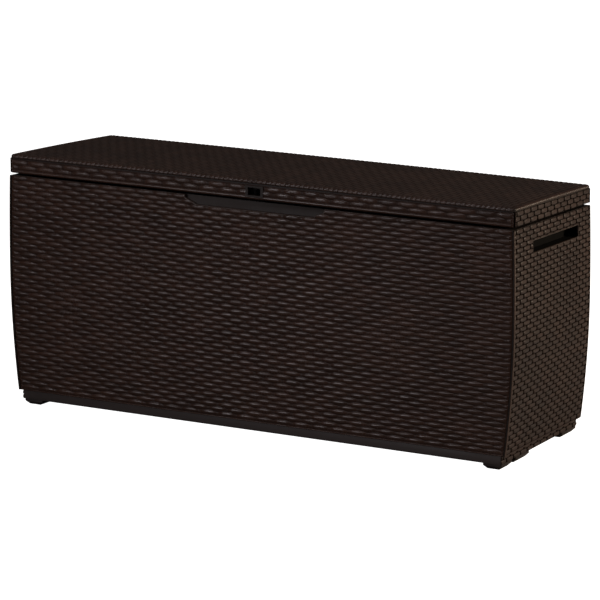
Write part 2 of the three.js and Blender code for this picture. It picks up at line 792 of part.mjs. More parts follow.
makeBase();
makeFrontWall();
makeBackWall();
makeSideWall(-1, "side_panel_left");
makeSideWall(1, "side_panel_right");
makeHandleCup(-1, "handle_cup_left");
makeHandleCup(1, "handle_cup_right");
makeLidShell();
makeLidLiner();
makeLockEye();
makeLockPocket();
HINGE.x.forEach((x, i) => makeHinge(x, i + 1));
makeStay(-1, "left");
makeStay(1, "right");

export default group;
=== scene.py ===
"""Looks of the deck storage box: woven resin skins, moulded resin parts and steel fixings."""

import json
import logging
import math
from dataclasses import dataclass, field
from enum import Enum, IntEnum
from typing import Callable, ClassVar, Optional, Sequence

import bmesh
import bpy
import numpy as np
from mathutils import Matrix, Vector


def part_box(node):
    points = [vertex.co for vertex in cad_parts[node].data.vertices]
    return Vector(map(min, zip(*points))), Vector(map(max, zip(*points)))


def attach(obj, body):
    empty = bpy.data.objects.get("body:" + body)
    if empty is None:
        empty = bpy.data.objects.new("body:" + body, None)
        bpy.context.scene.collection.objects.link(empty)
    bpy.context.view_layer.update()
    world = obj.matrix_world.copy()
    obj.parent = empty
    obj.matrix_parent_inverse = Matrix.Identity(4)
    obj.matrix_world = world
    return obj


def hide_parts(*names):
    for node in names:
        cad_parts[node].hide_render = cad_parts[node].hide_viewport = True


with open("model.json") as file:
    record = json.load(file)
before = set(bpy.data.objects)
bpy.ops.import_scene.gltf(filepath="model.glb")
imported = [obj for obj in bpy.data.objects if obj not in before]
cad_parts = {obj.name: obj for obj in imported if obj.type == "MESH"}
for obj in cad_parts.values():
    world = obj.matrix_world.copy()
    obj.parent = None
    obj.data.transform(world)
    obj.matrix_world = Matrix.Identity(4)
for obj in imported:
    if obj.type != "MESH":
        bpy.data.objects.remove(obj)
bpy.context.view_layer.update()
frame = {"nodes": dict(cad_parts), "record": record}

log = logging.getLogger("deck_box")
MM = 0.001
MERGE_DISTANCE = 0.002 * MM
FLAT_DEGREES = 0.4
SHARP_DEGREES = 28
BEVEL_STEPS = 2
EDGE_BEVEL = 0.5 * MM
FACE_TOLERANCE = 0.1 * MM
ABOVE_ALL = 1.0
SIDES = ((-1, "left"), (1, "right"))
HINGE_X = (-420 * MM, 0.0, 420 * MM)
PAD_SPANS = (1, 3, 5)
TONE_TURNS = 257
BEAD_STEPS = 9
BEAD_ROOT = 1.6
BEAD_SHARPEST = 0.4
Place = Callable[[np.ndarray, np.ndarray, np.ndarray], np.ndarray]
Move = Callable[[np.ndarray], np.ndarray]


class Slot(Enum):
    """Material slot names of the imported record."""

    WOVEN = "woven_resin"
    PLAIN = "plain_resin"
    DARK = "dark_resin"


class Body(Enum):
    """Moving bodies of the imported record."""

    CASE = "case"
    LID = "lid"


class Seed(IntEnum):
    """Seeds of the shade of each strand."""

    FRONT = 5
    BACK = 6
    ENDS = 7
    LID_TOP = 11
    LID_EDGE = 12
    LID_FRONT = 13
    LID_BACK = 14
    LID_ENDS = 15
    TRAY_ENDS = 17


# ---- Mesh helpers ----


def grid_faces(rows: int, cols: int, wrap: bool = False, keep: Optional[np.ndarray] = None) -> np.ndarray:
    """Quads of a grid of points numbered row by row.

    Args:
        rows: number of point rows.
        cols: number of point columns.
        wrap: joins the last column to the first.
        keep: cells to keep, as a (rows - 1, cells across) mask.

    Returns:
        An (n, 4) array of point numbers.
    """
    across = cols if wrap else cols - 1
    r, c = np.meshgrid(np.arange(rows - 1), np.arange(across), indexing="ij")
    nxt = (c + 1) % cols
    quads = np.stack([r * cols + c, (r + 1) * cols + c, (r + 1) * cols + nxt, r * cols + nxt], -1)
    return quads.reshape(-1, 4) if keep is None else quads[keep]


def face_outwards(points: np.ndarray, faces: np.ndarray, outward: np.ndarray) -> np.ndarray:
    """Turns every face round if the sheet as a whole faces against a direction.

    Args:
        points: (n, 3) places.
        faces: (m, 4) quads, all wound the same way.
        outward: the direction the sheet should face.

    Returns:
        The quads, turned where needed.
    """
    p = points[faces]
    total = np.cross(p[:, 2] - p[:, 0], p[:, 3] - p[:, 1]).sum(0)
    return faces if total @ outward >= 0 else faces[:, ::-1]


def make_mesh(name: str, points: np.ndarray, faces: np.ndarray) -> bpy.types.Object:
    """Puts points and quads into a new smooth-shaded object at the origin.

    Args:
        name: the piece's name.
        points: (n, 3) places in metres.
        faces: (m, 4) point numbers.

    Returns:
        The linked object.
    """
    mesh = bpy.data.meshes.new(name)
    mesh.from_pydata(points.tolist(), [], faces.tolist())
    mesh.polygons.foreach_set("use_smooth", np.ones(len(mesh.polygons), bool))
    made = bpy.data.objects.new(name, mesh)
    bpy.context.scene.collection.objects.link(made)
    return made


def point_attribute(mesh: bpy.types.Mesh, name: str, values: np.ndarray) -> None:
    """Stores one number or one vector for each point.

    Args:
        mesh: the mesh that takes the attribute.
        name: the attribute's name.
        values: (n,) or (n, 3) array.
    """
    vector = values.ndim == 2
    layer = mesh.attributes.new(name, "FLOAT_VECTOR" if vector else "FLOAT", "POINT")
    layer.data.foreach_set("vector" if vector else "value", values.astype(np.float32).ravel())


def dress(piece: bpy.types.Object, material: bpy.types.Material, body: Body) -> None:
    """Gives a new piece its finish and the body it rides on.

    Args:
        piece: the new piece.
        material: its finish.
        body: the moving body that carries it.
    """
    piece.data.materials.clear()
    piece.data.materials.append(material)
    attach(piece, body.value)


def moulded_copy(
    node: str, name: str, move: Optional[Move] = None, bevel: float = EDGE_BEVEL
) -> bpy.types.Object:
    """A merged copy of a CAD node with softened edges, standing for the node.

    Args:
        node: the CAD node.
        name: the new piece's name.
        move: maps (n, 3) places to new ones, or None.
        bevel: edge radius in metres.

    Returns:
        The new piece, which replaces the node.
    """
    mesh = frame["nodes"][node].data.copy()
    mesh.name = name
    work = bmesh.new()
    work.from_mesh(mesh)
    flat = math.radians(FLAT_DEGREES)
    bmesh.ops.remove_doubles(work, verts=work.verts, dist=MERGE_DISTANCE)
    bmesh.ops.dissolve_limit(work, angle_limit=flat, verts=work.verts, edges=work.edges)
    work.to_mesh(mesh)
    work.free()
    if move is not None:
        places = np.zeros(len(mesh.vertices) * 3, np.float32)
        mesh.vertices.foreach_get("co", places)
        mesh.vertices.foreach_set("co", move(places.reshape(-1, 3)).astype(np.float32).ravel())
        mesh.update()
    mesh.polygons.foreach_set("use_smooth", np.ones(len(mesh.polygons), bool))
    piece = bpy.data.objects.new(name, mesh)
    bpy.context.scene.collection.objects.link(piece)
    soften = piece.modifiers.new("soft_edges", "BEVEL")
    soften.width = bevel
    soften.segments = BEVEL_STEPS
    soften.limit_method = "ANGLE"
    soften.angle_limit = math.radians(SHARP_DEGREES)
    soften.harden_normals = True
    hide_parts(node)
    return piece


def standing_wall(face: float, side: int) -> Place:
    """The placing of a flat upright wall: along is X, across is Z, and height stands out towards side * Y.

    Args:
        face: Y of the wall's outer face.
        side: -1 where the wall faces -Y, 1 where it faces +Y.

    Returns:
        A map from (along, across, height) to places.
    """

    def place(along: np.ndarray, across: np.ndarray, height: np.ndarray) -> np.ndarray:
        """Puts the wall's own measures in space."""
        return np.stack([along, np.full_like(along, face) + side * height, across], -1)

    return place


def straight_edges(places: Sequence[float]) -> Callable[[np.ndarray], list[np.ndarray]]:
    """The edges of a wall whose column edges all run straight across the strands.

    Args:
        places: place of each edge along the strands.

    Returns:
        A map from the rows' places to the edges at each row.
    """
    return lambda rows: [np.full_like(rows, place) for place in places]


def drawn_in(face: float, side: int, depth: float) -> Move:
    """The move that draws a flat upright wall's outer face in, so that a skin can stand on it.

    Args:
        face: Y of the wall's outer face.
        side: -1 where the wall faces -Y, 1 where it faces +Y.
        depth: how far the face moves.

    Returns:
        A map from old places to new ones.
    """

    def move(points: np.ndarray) -> np.ndarray:
        """Moves the points of the outer face alone.

        Args:
            points: (n, 3) places, changed in place.

        Returns:
            The same array.
        """
        outer = side * (points[:, 1] - face) > -FACE_TOLERANCE
        points[:, 1] = np.where(outer, face - side * depth, points[:, 1])
        return points

    return move


# ---- Woven sheets ----


@dataclass(frozen=True)
class Weave:
    """Sizes of one plain weave: strands one way, hidden stakes the other way.

    The across values are the lines of each strand's section, as shares of its half width.
    """

    pitch: float = 10.37 * MM
    stake: float = 22.85 * MM
    swell: float = 0.2
    valley: float = 2.8 * MM
    dip: float = 1.9 * MM
    float_share: float = 0.5
    sag: float = 0.25 * MM
    steps: int = 5
    across: tuple[float, ...] = (1.0, 0.78, 0.42, 0.0, -0.42, -0.78)

    def phase(self, along: np.ndarray, strand: np.ndarray) -> np.ndarray:
        """Angle of the weave: 0 where a strand lies over a stake, pi where it dives under one."""
        return math.pi * (along / self.stake + strand)

    def height(self, phase: np.ndarray, t: np.ndarray) -> np.ndarray:
        """Height below the outer face: a half-round strand that floats level, then dives under a stake.

        Away is the phase's distance from the nearest float, 0 to 1. Past the float share the ridge
        falls by the dip along a smooth step, and the section falls from the ridge to the valley as
        the square root of 1 - t squared.

        Args:
            phase: angle of the weave.
            t: share of the strand's half width, -1 to 1.

        Returns:
            Heights, 0 at the outer face and negative below it.
        """
        away = np.arccos(np.cos(phase)) / math.pi
        dive = np.clip((away - self.float_share) / (1 - self.float_share), 0, 1)
        ridge = -self.dip * dive * dive * (3 - 2 * dive) - self.sag * away * away
        return -self.valley + (ridge + self.valley) * np.sqrt(np.clip(1 - t * t, 0, 1))


@dataclass
class Lip:
    """A plain moulded border along a sheet's edge.

    Each step is (distance past the weave, height), the outermost last.
    """

    ROUND_SECTION: ClassVar[tuple] = (
        (0.16, -0.9 * MM), (0.4, -0.25 * MM), (0.66, -0.2 * MM), (0.9, -0.9 * MM), (1.0, -1.8 * MM),
    )
    SUNK_SECTION: ClassVar[tuple] = ((0.12, 0.0), (0.62, 0.0), (0.7, -0.5 * MM))
    GROOVE_SHARE: ClassVar[float] = 0.72
    TURN: ClassVar[float] = 0.25 * MM

    steps: Sequence[tuple[float, float]]

    @staticmethod
    def rounded(width: float, tuck: float) -> "Lip":
        """A half-round lip of a width that ends tucked in by a depth."""
        return Lip([(width * share, height) for share, height in Lip.ROUND_SECTION] + [(width, -tuck)])

    @staticmethod
    def sunk(width: float, sink: float, tuck: float) -> "Lip":
        """A flat border set back from the face, ending short of its full width in a groove."""
        steps = [(width * share, -sink + height) for share, height in Lip.SUNK_SECTION]
        return Lip(steps + [(width * Lip.GROOVE_SHARE, -tuck)])

    @staticmethod
    def tucked(tuck: float) -> "Lip":
        """No visible lip: the sheet turns straight in."""
        return Lip([(Lip.TURN, -tuck)])


@dataclass
class SheetRows:
    """The rows of a woven sheet, from the first lip's outermost line to the last lip's.

    Plain holds the height of a lip's line, and is not a number for a line of the weave.
    """

    strand: np.ndarray
    t: np.ndarray
    centre: np.ndarray
    lines: np.ndarray
    plain: np.ndarray
    inner: np.ndarray


@dataclass
class WovenSheet:
    """A woven skin: a grid whose rows follow the strands and whose columns follow the edges of the wall.

    Across is measured against the strand count (first strand at the start), along runs with the strands.
    A calm row (place, low, high) keeps the strand boundary at a place straight from low to high along it.
    A hole (span, low, high) leaves out a span between two edges, from low to high across the strands.
    """

    BOUNDARY_SHARE: ClassVar[float] = 0.3
    CALM_REACH: ClassVar[float] = 0.7
    ROUNDING: ClassVar[float] = 0.0001 * MM

    weave: Weave
    start: float
    count: int
    down: float
    edges: Callable[[np.ndarray], list[np.ndarray]]
    place: Place
    outward: tuple[float, float, float]
    first_lip: Lip
    last_lip: Lip
    side_lip: Lip
    seed: int
    calm: Sequence[tuple[float, float, float]] = ()
    holes: Sequence[tuple[int, float, float]] = ()

    def build(self, name: str) -> bpy.types.Object:
        """Works out the whole skin as arrays and makes its mesh.

        Args:
            name: the piece's name.

        Returns:
            The new object, with its weave attributes.
        """
        rows = self._rows()
        along, plain, breaks = self._columns(rows.inner)
        phase = self.weave.phase(along, rows.strand[:, None])
        woven = np.isnan(rows.plain)[:, None] & np.isnan(plain)[None]
        across = self._across(rows, along, phase, woven)
        height = self._height(rows, plain, phase)
        faces = grid_faces(*along.shape, keep=self._kept_cells(rows.lines, breaks, along.shape))
        used = np.unique(faces)
        renumber = np.zeros(along.size, int)
        renumber[used] = np.arange(len(used))
        points = self.place(along, across, height).reshape(-1, 3)[used]
        faces = face_outwards(points, renumber[faces], np.array(self.outward))
        made = make_mesh(name, points, faces)

        tones = np.random.default_rng(self.seed).random((self.count + 1, TONE_TURNS))
        turn = np.floor(phase / (2 * math.pi) + 0.5).astype(int) % TONE_TURNS
        tone = tones[np.broadcast_to(rows.strand[:, None].astype(int), turn.shape), turn]
        # Crest: 1 on top of a strand, 0 at the bottom of a valley; the woven finishes paint shade where it is
        # low.
        crest = np.clip(1 + height / self.weave.valley, 0, 1)
        ridge = np.broadcast_to((rows.strand + (1 - rows.t) / 2)[:, None], along.shape)
        vector = np.stack([along, ridge, np.where(woven, tone, 0.5)], -1).reshape(-1, 3)[used]
        point_attribute(made.data, "strand", vector)
        point_attribute(made.data, "crest", crest.reshape(-1)[used])
        return made

    def _rows(self) -> SheetRows:
        """Lines of each strand at fixed shares t of its half width, then a closing line and the two lips.

        Returns:
            The sheet's rows.
        """
        w = self.weave
        strand = np.repeat(np.arange(self.count), len(w.across)).astype(float)
        t = np.tile(np.array(w.across), self.count)
        strand, t = np.append(strand, self.count - 1), np.append(t, -1.0)
        centre = self.start + self.down * w.pitch * (strand + 0.5)
        first = [(self.start - self.down * d, h) for d, h in reversed(self.first_lip.steps)]
        last = [(self.start + self.down * (self.count * w.pitch + d), h) for d, h in self.last_lip.steps]
        nominal = centre - self.down * t * w.pitch / 2
        lines = np.concatenate([[p for p, _ in first], nominal, [p for p, _ in last]])
        plain = np.concatenate([[h for _, h in first], np.full(len(t), np.nan), [h for _, h in last]])
        pad = (len(first), len(last))
        strand, t, centre = (np.pad(values, pad, mode="edge") for values in (strand, t, centre))
        inner = np.clip(lines, min(nominal[0], nominal[-1]), max(nominal[0], nominal[-1]))
        return SheetRows(strand, t, centre, lines, plain, inner)

    def _columns(self, inner: np.ndarray) -> tuple:
        """Columns at even steps between the wall's edges, with the side lips outside them.

        Args:
            inner: place of each row across the strands, held inside the weave.

        Returns:
            Places along the strands (rows by columns), the lips' heights by column, and the column
            at which each span starts.
        """
        anchors = self.edges(inner)
        step = self.weave.stake / self.weave.steps
        spans = []
        for low, high in zip(anchors, anchors[1:]):
            n = max(2, int(round(float(np.max(high - low)) / step)))
            share = np.linspace(0, 1, n + 1)[:-1]
            spans.append(low[:, None] + (high - low)[:, None] * share[None])
        side = self.side_lip.steps
        breaks = np.cumsum([0] + [s.shape[1] for s in spans]) + len(side)
        body = np.concatenate([*spans, anchors[-1][:, None]], 1)
        left = np.stack([body[:, 0] - d for d, _ in reversed(side)], 1)
        right = np.stack([body[:, -1] + d for d, _ in side], 1)
        lip = [h for _, h in side]
        plain = np.concatenate([lip[::-1], np.full(body.shape[1], np.nan), lip])
        return np.concatenate([left, body, right], 1), plain, breaks

    def _across(self, rows: SheetRows, along: np.ndarray, phase: np.ndarray, woven: np.ndarray) -> np.ndarray:
        """Place of every point across the strands.

        Strand half width = pitch / 2 * (1 + swell * cos phase), so that the next strand's width, whose
        phase is half a turn on, meets it along one wavy valley.

        Args:
            rows: the sheet's rows.
            along: places along the strands.
            phase: angle of the weave.
            woven: true where the point is part of the weave.

        Returns:
            Places across the strands, rows by columns.
        """
        w = self.weave
        upper = self._calmness(rows.centre + -self.down * w.pitch / 2, along)
        lower = self._calmness(rows.centre + self.down * w.pitch / 2, along)
        quiet = np.where(rows.t[:, None] > 0, upper, lower)
        half = w.pitch / 2 * (1 + w.swell * quiet * np.cos(phase))
        waved = rows.centre[:, None] - self.down * rows.t[:, None] * half
        return np.where(woven, waved, rows.lines[:, None])

    def _height(self, rows: SheetRows, plain: np.ndarray, phase: np.ndarray) -> np.ndarray:
        """Height of every point: the weave's own, or that of the lower lip it lies on.

        Args:
            rows: the sheet's rows.
            plain: the side lips' heights by column.
            phase: angle of the weave.

        Returns:
            Heights, rows by columns.
        """
        height = self.weave.height(phase, np.broadcast_to(rows.t[:, None], phase.shape))
        height = np.where(np.isnan(rows.plain)[:, None], height, rows.plain[:, None])
        lower_lip = np.fmin(plain[None], np.nan_to_num(rows.plain, nan=1)[:, None])
        return np.where(np.isnan(plain)[None], height, lower_lip)

    def _kept_cells(self, lines: np.ndarray, breaks: np.ndarray, shape: tuple[int, int]) -> np.ndarray:
        """The grid's cells without those inside a hole.

        Args:
            lines: place of each row across the strands.
            breaks: the column at which each span starts.
            shape: rows and columns of points.

        Returns:
            A mask of the cells to keep.
        """
        keep = np.ones((shape[0] - 1, shape[1] - 1), bool)
        lower, upper = np.minimum(lines[:-1], lines[1:]), np.maximum(lines[:-1], lines[1:])
        for span, low, high in self.holes:
            inside = (lower > low - self.ROUNDING) & (upper < high + self.ROUNDING)
            keep[np.ix_(inside, np.arange(breaks[span], breaks[span + 1]))] = False
        return keep

    def _calmness(self, boundary: np.ndarray, along: np.ndarray) -> np.ndarray:
        """1 where a strand boundary may wave, falling to 0 beside the straight edge of a cut-out.

        Args:
            boundary: place of each row's nearer strand boundary.
            along: places along the strands.

        Returns:
            Shares of the full wave, rows by columns.
        """
        near = self.weave.pitch * self.BOUNDARY_SHARE
        quiet = np.ones_like(along)
        for end in (self.start, self.start + self.down * self.count * self.weave.pitch):
            quiet = np.where(np.abs(boundary - end)[:, None] < near, 0.0, quiet)
        for at, low, high in self.calm:
            away = np.maximum(np.maximum(low - along, along - high), 0) / (self.weave.stake * self.CALM_REACH)
            beside = np.abs(boundary - at)[:, None] < near
            quiet = np.where(beside, np.minimum(quiet, np.clip(away, 0, 1)), quiet)
        return quiet


def bead(
    name: str, path: np.ndarray, closed: bool, width: float, depth: float, place: Place, outward: tuple
) -> bpy.types.Object:
    """A half-round trim along a line drawn on a wall.

    The section is a half ellipse: offset = width / 2 * cos a across the line and height =
    depth * (sin a - 1), a from 0 to pi, with both feet carried a little further in.

    Args:
        name: the piece's name.
        path: (n, 2) points (along, across) of the trim's middle line.
        closed: joins the last point to the first.
        width: width on the wall.
        depth: how far the feet lie below the crown.
        place: maps (along, across, height) to places.
        outward: the direction the trim faces.

    Returns:
        The new object.
    """
    before = np.roll(path, 1, 0) if closed else np.vstack([2 * path[0] - path[1], path[:-1]])
    after = np.roll(path, -1, 0) if closed else np.vstack([path[1:], 2 * path[-1] - path[-2]])
    one = (path - before) / np.linalg.norm(path - before, axis=1, keepdims=True)
    two = (after - path) / np.linalg.norm(after - path, axis=1, keepdims=True)
    mean = one + two
    mean /= np.linalg.norm(mean, axis=1, keepdims=True)
    stretch = 1 / np.clip((mean * one).sum(1), BEAD_SHARPEST, 1)
    normal = np.stack([mean[:, 1], -mean[:, 0]], 1) * stretch[:, None]
    angle = np.linspace(0, math.pi, BEAD_STEPS)
    foot = [-depth * BEAD_ROOT]
    offset = np.concatenate([[width / 2], width / 2 * np.cos(angle), [-width / 2]])
    height = np.concatenate([foot, depth * (np.sin(angle) - 1), foot])
    flat = path[None] + offset[:, None, None] * normal[None]
    high = np.broadcast_to(height[:, None], flat.shape[:2])
    points = place(flat[..., 0], flat[..., 1], high)
    faces = grid_faces(len(offset), len(path), wrap=closed)
    faces = face_outwards(points.reshape(-1, 3), faces, np.array(outward))
    return make_mesh(name, points.reshape(-1, 3), faces)


def rounded_loop(a0: float, a1: float, b0: float, b1: float, radius: float, steps: int = 5) -> np.ndarray:
    """Points round a rectangle with quarter-circle corners.

    Each corner's points are its middle plus the radius times (cos, sin) of a quarter turn.

    Args:
        a0: lower side along.
        a1: upper side along.
        b0: lower side across.
        b1: upper side across.
        radius: radius of the corners.
        steps: points for each corner.

    Returns:
        (n, 2) points, counter-clockwise from the corner at a1, b1.
    """
    turn = np.linspace(0, math.pi / 2, steps)
    corners = [(a1, b1, 0.0), (a0, b1, 0.5), (a0, b0, 1.0), (a1, b0, 1.5)]
    parts = []
    for a, b, quarter in corners:
        angle = turn + quarter * math.pi
        middle_a = a - radius if a == a1 else a + radius
        middle_b = b - radius if b == b1 else b + radius
        parts.append(np.stack([middle_a + radius * np.cos(angle), middle_b + radius * np.sin(angle)], 1))
    return np.concatenate(parts)


# ---- Node groups ----


def new_group(name: str, inputs: Sequence[tuple], outputs: Sequence[tuple]) -> tuple:
    """An empty shader group with named sockets.

    Args:
        name: the group's name.
        inputs: (name, socket type, default) rows.
        outputs: (name, socket type) rows.

    Returns:
        The group, its input node and its output node.
    """
    group = bpy.data.node_groups.new(name, "ShaderNodeTree")
    for label, kind, default in inputs:
        made = group.interface.new_socket(name=label, in_out="INPUT", socket_type=kind)
        if default is not None:
            made.default_value = default
    for label, kind in outputs:
        group.interface.new_socket(name=label, in_out="OUTPUT", socket_type=kind)
    return group, group.nodes.new("NodeGroupInput"), group.nodes.new("NodeGroupOutput")


@dataclass
class Graph:
    """Short ways to add and join shader nodes in one tree."""

    tree: bpy.types.NodeTree

    def add(self, kind: str, **settings: object) -> bpy.types.Node:
        """A new node.

        Args:
            kind: the node's type.
            settings: its properties by name.

        Returns:
            The node.
        """
        node = self.tree.nodes.new(kind)
        for key, value in settings.items():
            setattr(node, key, value)
        return node

    def feed(self, node: bpy.types.Node, **sources: object) -> bpy.types.Node:
        """Joins sockets to a node's inputs, or sets their values.

        Args:
            node: the node that takes them.
            sources: sockets or values by input name, with _ for a space, or i0, i1 and so on by place.

        Returns:
            The same node.
        """
        for key, value in sources.items():
            place = int(key[1:]) if key[0] == "i" and key[1:].isdigit() else key.replace("_", " ")
            if isinstance(value, bpy.types.NodeSocket):
                self.tree.links.new(value, node.inputs[place])
            else:
                node.inputs[place].default_value = value
        return node

    def math(self, operation: str, *values: object, clamp: bool = False) -> bpy.types.NodeSocket:
        """A Math node.

        Args:
            operation: what it does.
            values: sockets or numbers, in the order of its inputs.
            clamp: holds the result between 0 and 1.

        Returns:
            Its output.
        """
        node = self.add("ShaderNodeMath", operation=operation, use_clamp=clamp)
        self.feed(node, **{f"i{place}": value for place, value in enumerate(values)})
        return node.outputs[0]

    def mix(self, share: object, one: object, two: object, blend: str = "MIX") -> bpy.types.NodeSocket:
        """A Mix node of two colours.

        Args:
            share: share of the second colour.
            one: the first colour.
            two: the second colour.
            blend: how they are mixed.

        Returns:
            Its colour output.
        """
        node = self.add("ShaderNodeMix", data_type="RGBA", blend_type=blend)
        self.feed(node, i0=share, i6=one, i7=two)
        return node.outputs[2]

    def noise(self, vector: object, scale: float, detail: float, rough: float) -> bpy.types.NodeSocket:
        """A Noise Texture.

        Args:
            vector: where it is looked up.
            scale: its scale.
            detail: its detail.
            rough: its roughness.

        Returns:
            Its factor.
        """
        node = self.add("ShaderNodeTexNoise")
        self.feed(node, Vector=vector, Scale=scale, Detail=detail, Roughness=rough)
        return node.outputs["Fac"]

    def spread(self, value: object, **ends: float) -> bpy.types.NodeSocket:
        """A Map Range node, from 0 to 1 unless the ends say otherwise.

        Args:
            value: what it maps.
            ends: From_Min, From_Max, To_Min and To_Max where they differ.

        Returns:
            Its result.
        """
        return self.feed(self.add("ShaderNodeMapRange"), Value=value, **ends).outputs[0]

    def grey(self, shade: object) -> bpy.types.NodeSocket:
        """A colour whose three parts are one shade."""
        return self.feed(self.add("ShaderNodeCombineColor"), Red=shade, Green=shade, Blue=shade).outputs[0]


def mottle_group() -> bpy.types.NodeTree:
    """Cloudy colour and a fine moulded grain, shared by every resin.

    Returns:
        The group: colour between dark and light, roughness between low and high, and a grain height.
    """
    group, take, give = new_group(
        "moulded_mottle",
        [
            ("Vector", "NodeSocketVector", None),
            ("Dark", "NodeSocketColor", (0.02, 0.012, 0.009, 1)),
            ("Light", "NodeSocketColor", (0.04, 0.025, 0.02, 1)),
            ("Roughness Low", "NodeSocketFloat", 0.4),
            ("Roughness High", "NodeSocketFloat", 0.6),
        ],
        [("Color", "NodeSocketColor"), ("Roughness", "NodeSocketFloat"), ("Height", "NodeSocketFloat")],
    )
    g = Graph(group)
    vector = take.outputs["Vector"]
    cloud = g.noise(vector, scale=9.0, detail=4.0, rough=0.6)
    speck = g.noise(vector, scale=260.0, detail=2.0, rough=0.5)
    grain = g.noise(vector, scale=900.0, detail=2.0, rough=0.6)
    blotch = g.math("ADD", g.math("MULTIPLY", cloud, 0.65), g.math("MULTIPLY", speck, 0.35), clamp=True)
    share = g.spread(blotch, From_Min=0.33, From_Max=0.67)
    low, high = take.outputs["Roughness Low"], take.outputs["Roughness High"]
    rough = g.math("ADD", low, g.math("MULTIPLY", g.math("SUBTRACT", high, low), share))
    height = g.math("ADD", g.math("MULTIPLY", grain, 0.6), g.math("MULTIPLY", speck, 0.4))
    colour = g.mix(share, take.outputs["Dark"], take.outputs["Light"])
    g.feed(give, Color=colour, Roughness=rough, Height=height)
    return group


def ridge_group() -> bpy.types.NodeTree:
    """Fine lengthwise ridges on a strand, worn smoother here and there.

    Returns:
        The group: a ridge height, (1 + cos) / 2 across the strand, and a streak along it.
    """
    group, take, give = new_group(
        "strand_ridges",
        [
            ("Strand", "NodeSocketVector", None),
            ("Vector", "NodeSocketVector", None),
            ("Ridges", "NodeSocketFloat", 5.0),
        ],
        [("Height", "NodeSocketFloat"), ("Streak", "NodeSocketFloat")],
    )
    g = Graph(group)
    parts = g.feed(g.add("ShaderNodeSeparateXYZ"), Vector=take.outputs["Strand"])
    along, across, tone = (parts.outputs[axis] for axis in "XYZ")
    turns = g.math("MULTIPLY", g.math("MULTIPLY", across, take.outputs["Ridges"]), 2 * math.pi)
    wave = g.math("MULTIPLY_ADD", g.math("COSINE", turns), 0.5, 0.5)
    stretched = g.add("ShaderNodeCombineXYZ")
    g.feed(stretched, X=g.math("MULTIPLY", along, 40.0), Y=g.math("MULTIPLY", across, 14.0), Z=tone)
    streak = g.noise(stretched.outputs[0], scale=1.0, detail=3.0, rough=0.6)
    worn = g.noise(take.outputs["Vector"], scale=30.0, detail=2.0, rough=0.5)
    g.feed(give, Height=g.math("MULTIPLY", wave, g.math("ADD", 0.35, worn)), Streak=streak)
    return group


# ---- Finishes ----


def start_material(name: str) -> tuple:
    """A node material with its output, shader and object coordinates.

    Args:
        name: the material's name.

    Returns:
        The material, its graph, the Principled shader and the Object coordinate socket.
    """
    material = bpy.data.materials.new(name)
    material.use_nodes = True
    material.node_tree.nodes.clear()
    g = Graph(material.node_tree)
    shader = g.add("ShaderNodeBsdfPrincipled")
    output = g.add("ShaderNodeOutputMaterial")
    g.feed(output, Surface=shader.outputs[0])
    return material, g, shader, g.add("ShaderNodeTexCoord").outputs["Object"]


def bump(
    g: Graph, shader: bpy.types.Node, height: bpy.types.NodeSocket, distance: float, strength: float
) -> None:
    """Feeds a height to the shader's normal through a Bump node.

    Args:
        g: the material's graph.
        shader: the node whose normal it turns.
        height: the height socket.
        distance: height of a full step in metres.
        strength: share of the effect.
    """
    node = g.add("ShaderNodeBump")
    g.feed(node, Height=height, Distance=distance, Strength=strength)
    g.feed(shader, Normal=node.outputs[0])


def mottled(
    g: Graph, group: bpy.types.NodeTree, place: bpy.types.NodeSocket, low: tuple, high: tuple, rough: tuple
) -> bpy.types.Node:
    """A use of the shared mottle group.

    Args:
        g: the material's graph.
        group: the mottle group.
        place: where it is looked up.
        low: the darker colour.
        high: the lighter colour.
        rough: lowest and highest roughness.

    Returns:
        The group node.
    """
    cloud = g.add("ShaderNodeGroup", node_tree=group)
    g.feed(cloud, Vector=place, Dark=(*low, 1), Light=(*high, 1))
    return g.feed(cloud, Roughness_Low=rough[0], Roughness_High=rough[1])


